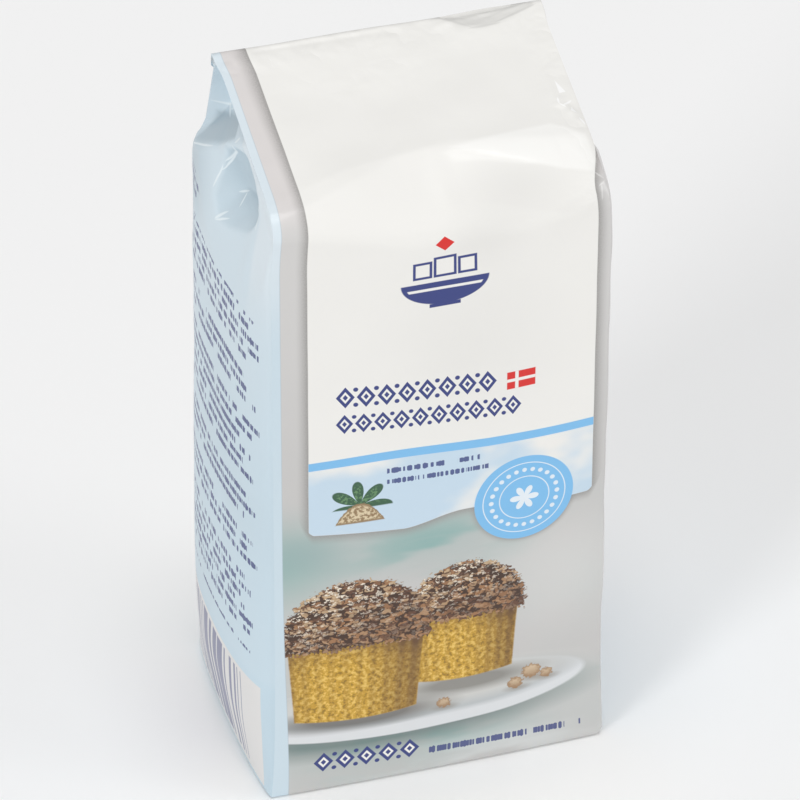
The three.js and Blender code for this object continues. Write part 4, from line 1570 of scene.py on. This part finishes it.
def pale_floor():
    deselect_all()
    bpy.ops.mesh.primitive_plane_add(size=6, location=(0, 0, 0))
    floor = bpy.context.object
    floor.name = "floor"
    paper = bpy.data.materials.new("pale_floor")
    paper.use_nodes = True
    shader = paper.node_tree.nodes["Principled BSDF"]
    shader.inputs["Base Color"].default_value = (0.97, 0.97, 0.97, 1)
    shader.inputs["Roughness"].default_value = 0.9
    floor.data.materials.append(paper)


def soft_sun(name, azimuth, elevation, spread, power):
    """A wide even light from one side. Azimuth is measured from the front towards the right."""
    bpy.ops.object.light_add(type="SUN", location=(0, 0, 1))
    light = bpy.context.object
    light.name = name
    light.data.angle = math.radians(spread)
    light.data.energy = power * math.pi
    a, e = math.radians(azimuth), math.radians(elevation)
    toward = Vector((math.sin(a) * math.cos(e), -math.cos(a) * math.cos(e), math.sin(e)))
    light.rotation_euler = toward.to_track_quat("Z", "Y").to_euler()


def soft_lights():
    deselect_all()
    soft_sun("top_light", -12, 86, 28, 0.35)
    soft_sun("left_light", -54, 20, 18, 0.335)
    soft_sun("right_light", 60, 10, 24, 0.26)
    world = bpy.data.worlds.new("studio")
    bpy.context.scene.world = world
    world.use_nodes = True
    background = world.node_tree.nodes["Background"]
    background.inputs[0].default_value = (1, 1, 1, 1)
    background.inputs[1].default_value = 0.4


def studio_camera(scene):
    a, e = CAMERA_AZIMUTH, CAMERA_ELEVATION
    back = Vector((-math.sin(a) * math.cos(e), -math.cos(a) * math.cos(e), math.sin(e)))
    data = bpy.data.cameras.new("camera")
    data.lens = CAMERA_LENS
    data.sensor_width = 36
    camera = bpy.data.objects.new("camera", data)
    scene.collection.objects.link(camera)
    camera.location = CAMERA_TARGET + back * CAMERA_DISTANCE
    camera.rotation_mode = "QUATERNION"
    camera.rotation_quaternion = Quaternion(back, CAMERA_ROLL) @ (-back).to_track_quat("-Z", "Y")
    scene.camera = camera
    scene.view_settings.view_transform = "Standard"


class POUCH_PT_panel(bpy.types.Panel):
    """Sizes, colours and steps of the pouch"""

    bl_idname = "POUCH_PT_panel"
    bl_label = "Sugar pouch"
    bl_space_type = "VIEW_3D"
    bl_region_type = "UI"
    bl_category = "Pouch"

    def draw(self, context):
        for group in (context.scene.pouch_sizes, context.scene.pouch_colours, context.scene.pouch_finish):
            box = self.layout.box()
            for name in group.__annotations__:
                box.prop(group, name)
        for step in STEPS:
            self.layout.operator(step.bl_idname)


STEPS = (POUCH_OT_film, POUCH_OT_stage)
CLASSES = (PouchSizes, PrintColours, FilmFinish, *STEPS, POUCH_PT_panel)


def register():
    for each in CLASSES:
        bpy.utils.register_class(each)
    bpy.types.Scene.pouch_sizes = PointerProperty(type=PouchSizes)
    bpy.types.Scene.pouch_colours = PointerProperty(type=PrintColours)
    bpy.types.Scene.pouch_finish = PointerProperty(type=FilmFinish)


def unregister():
    del bpy.types.Scene.pouch_finish
    del bpy.types.Scene.pouch_colours
    del bpy.types.Scene.pouch_sizes
    for each in reversed(CLASSES):
        bpy.utils.unregister_class(each)


def main():
    register()
    bpy.ops.pouch.film()
    bpy.ops.pouch.stage()


if __name__ == "__main__":
    main()
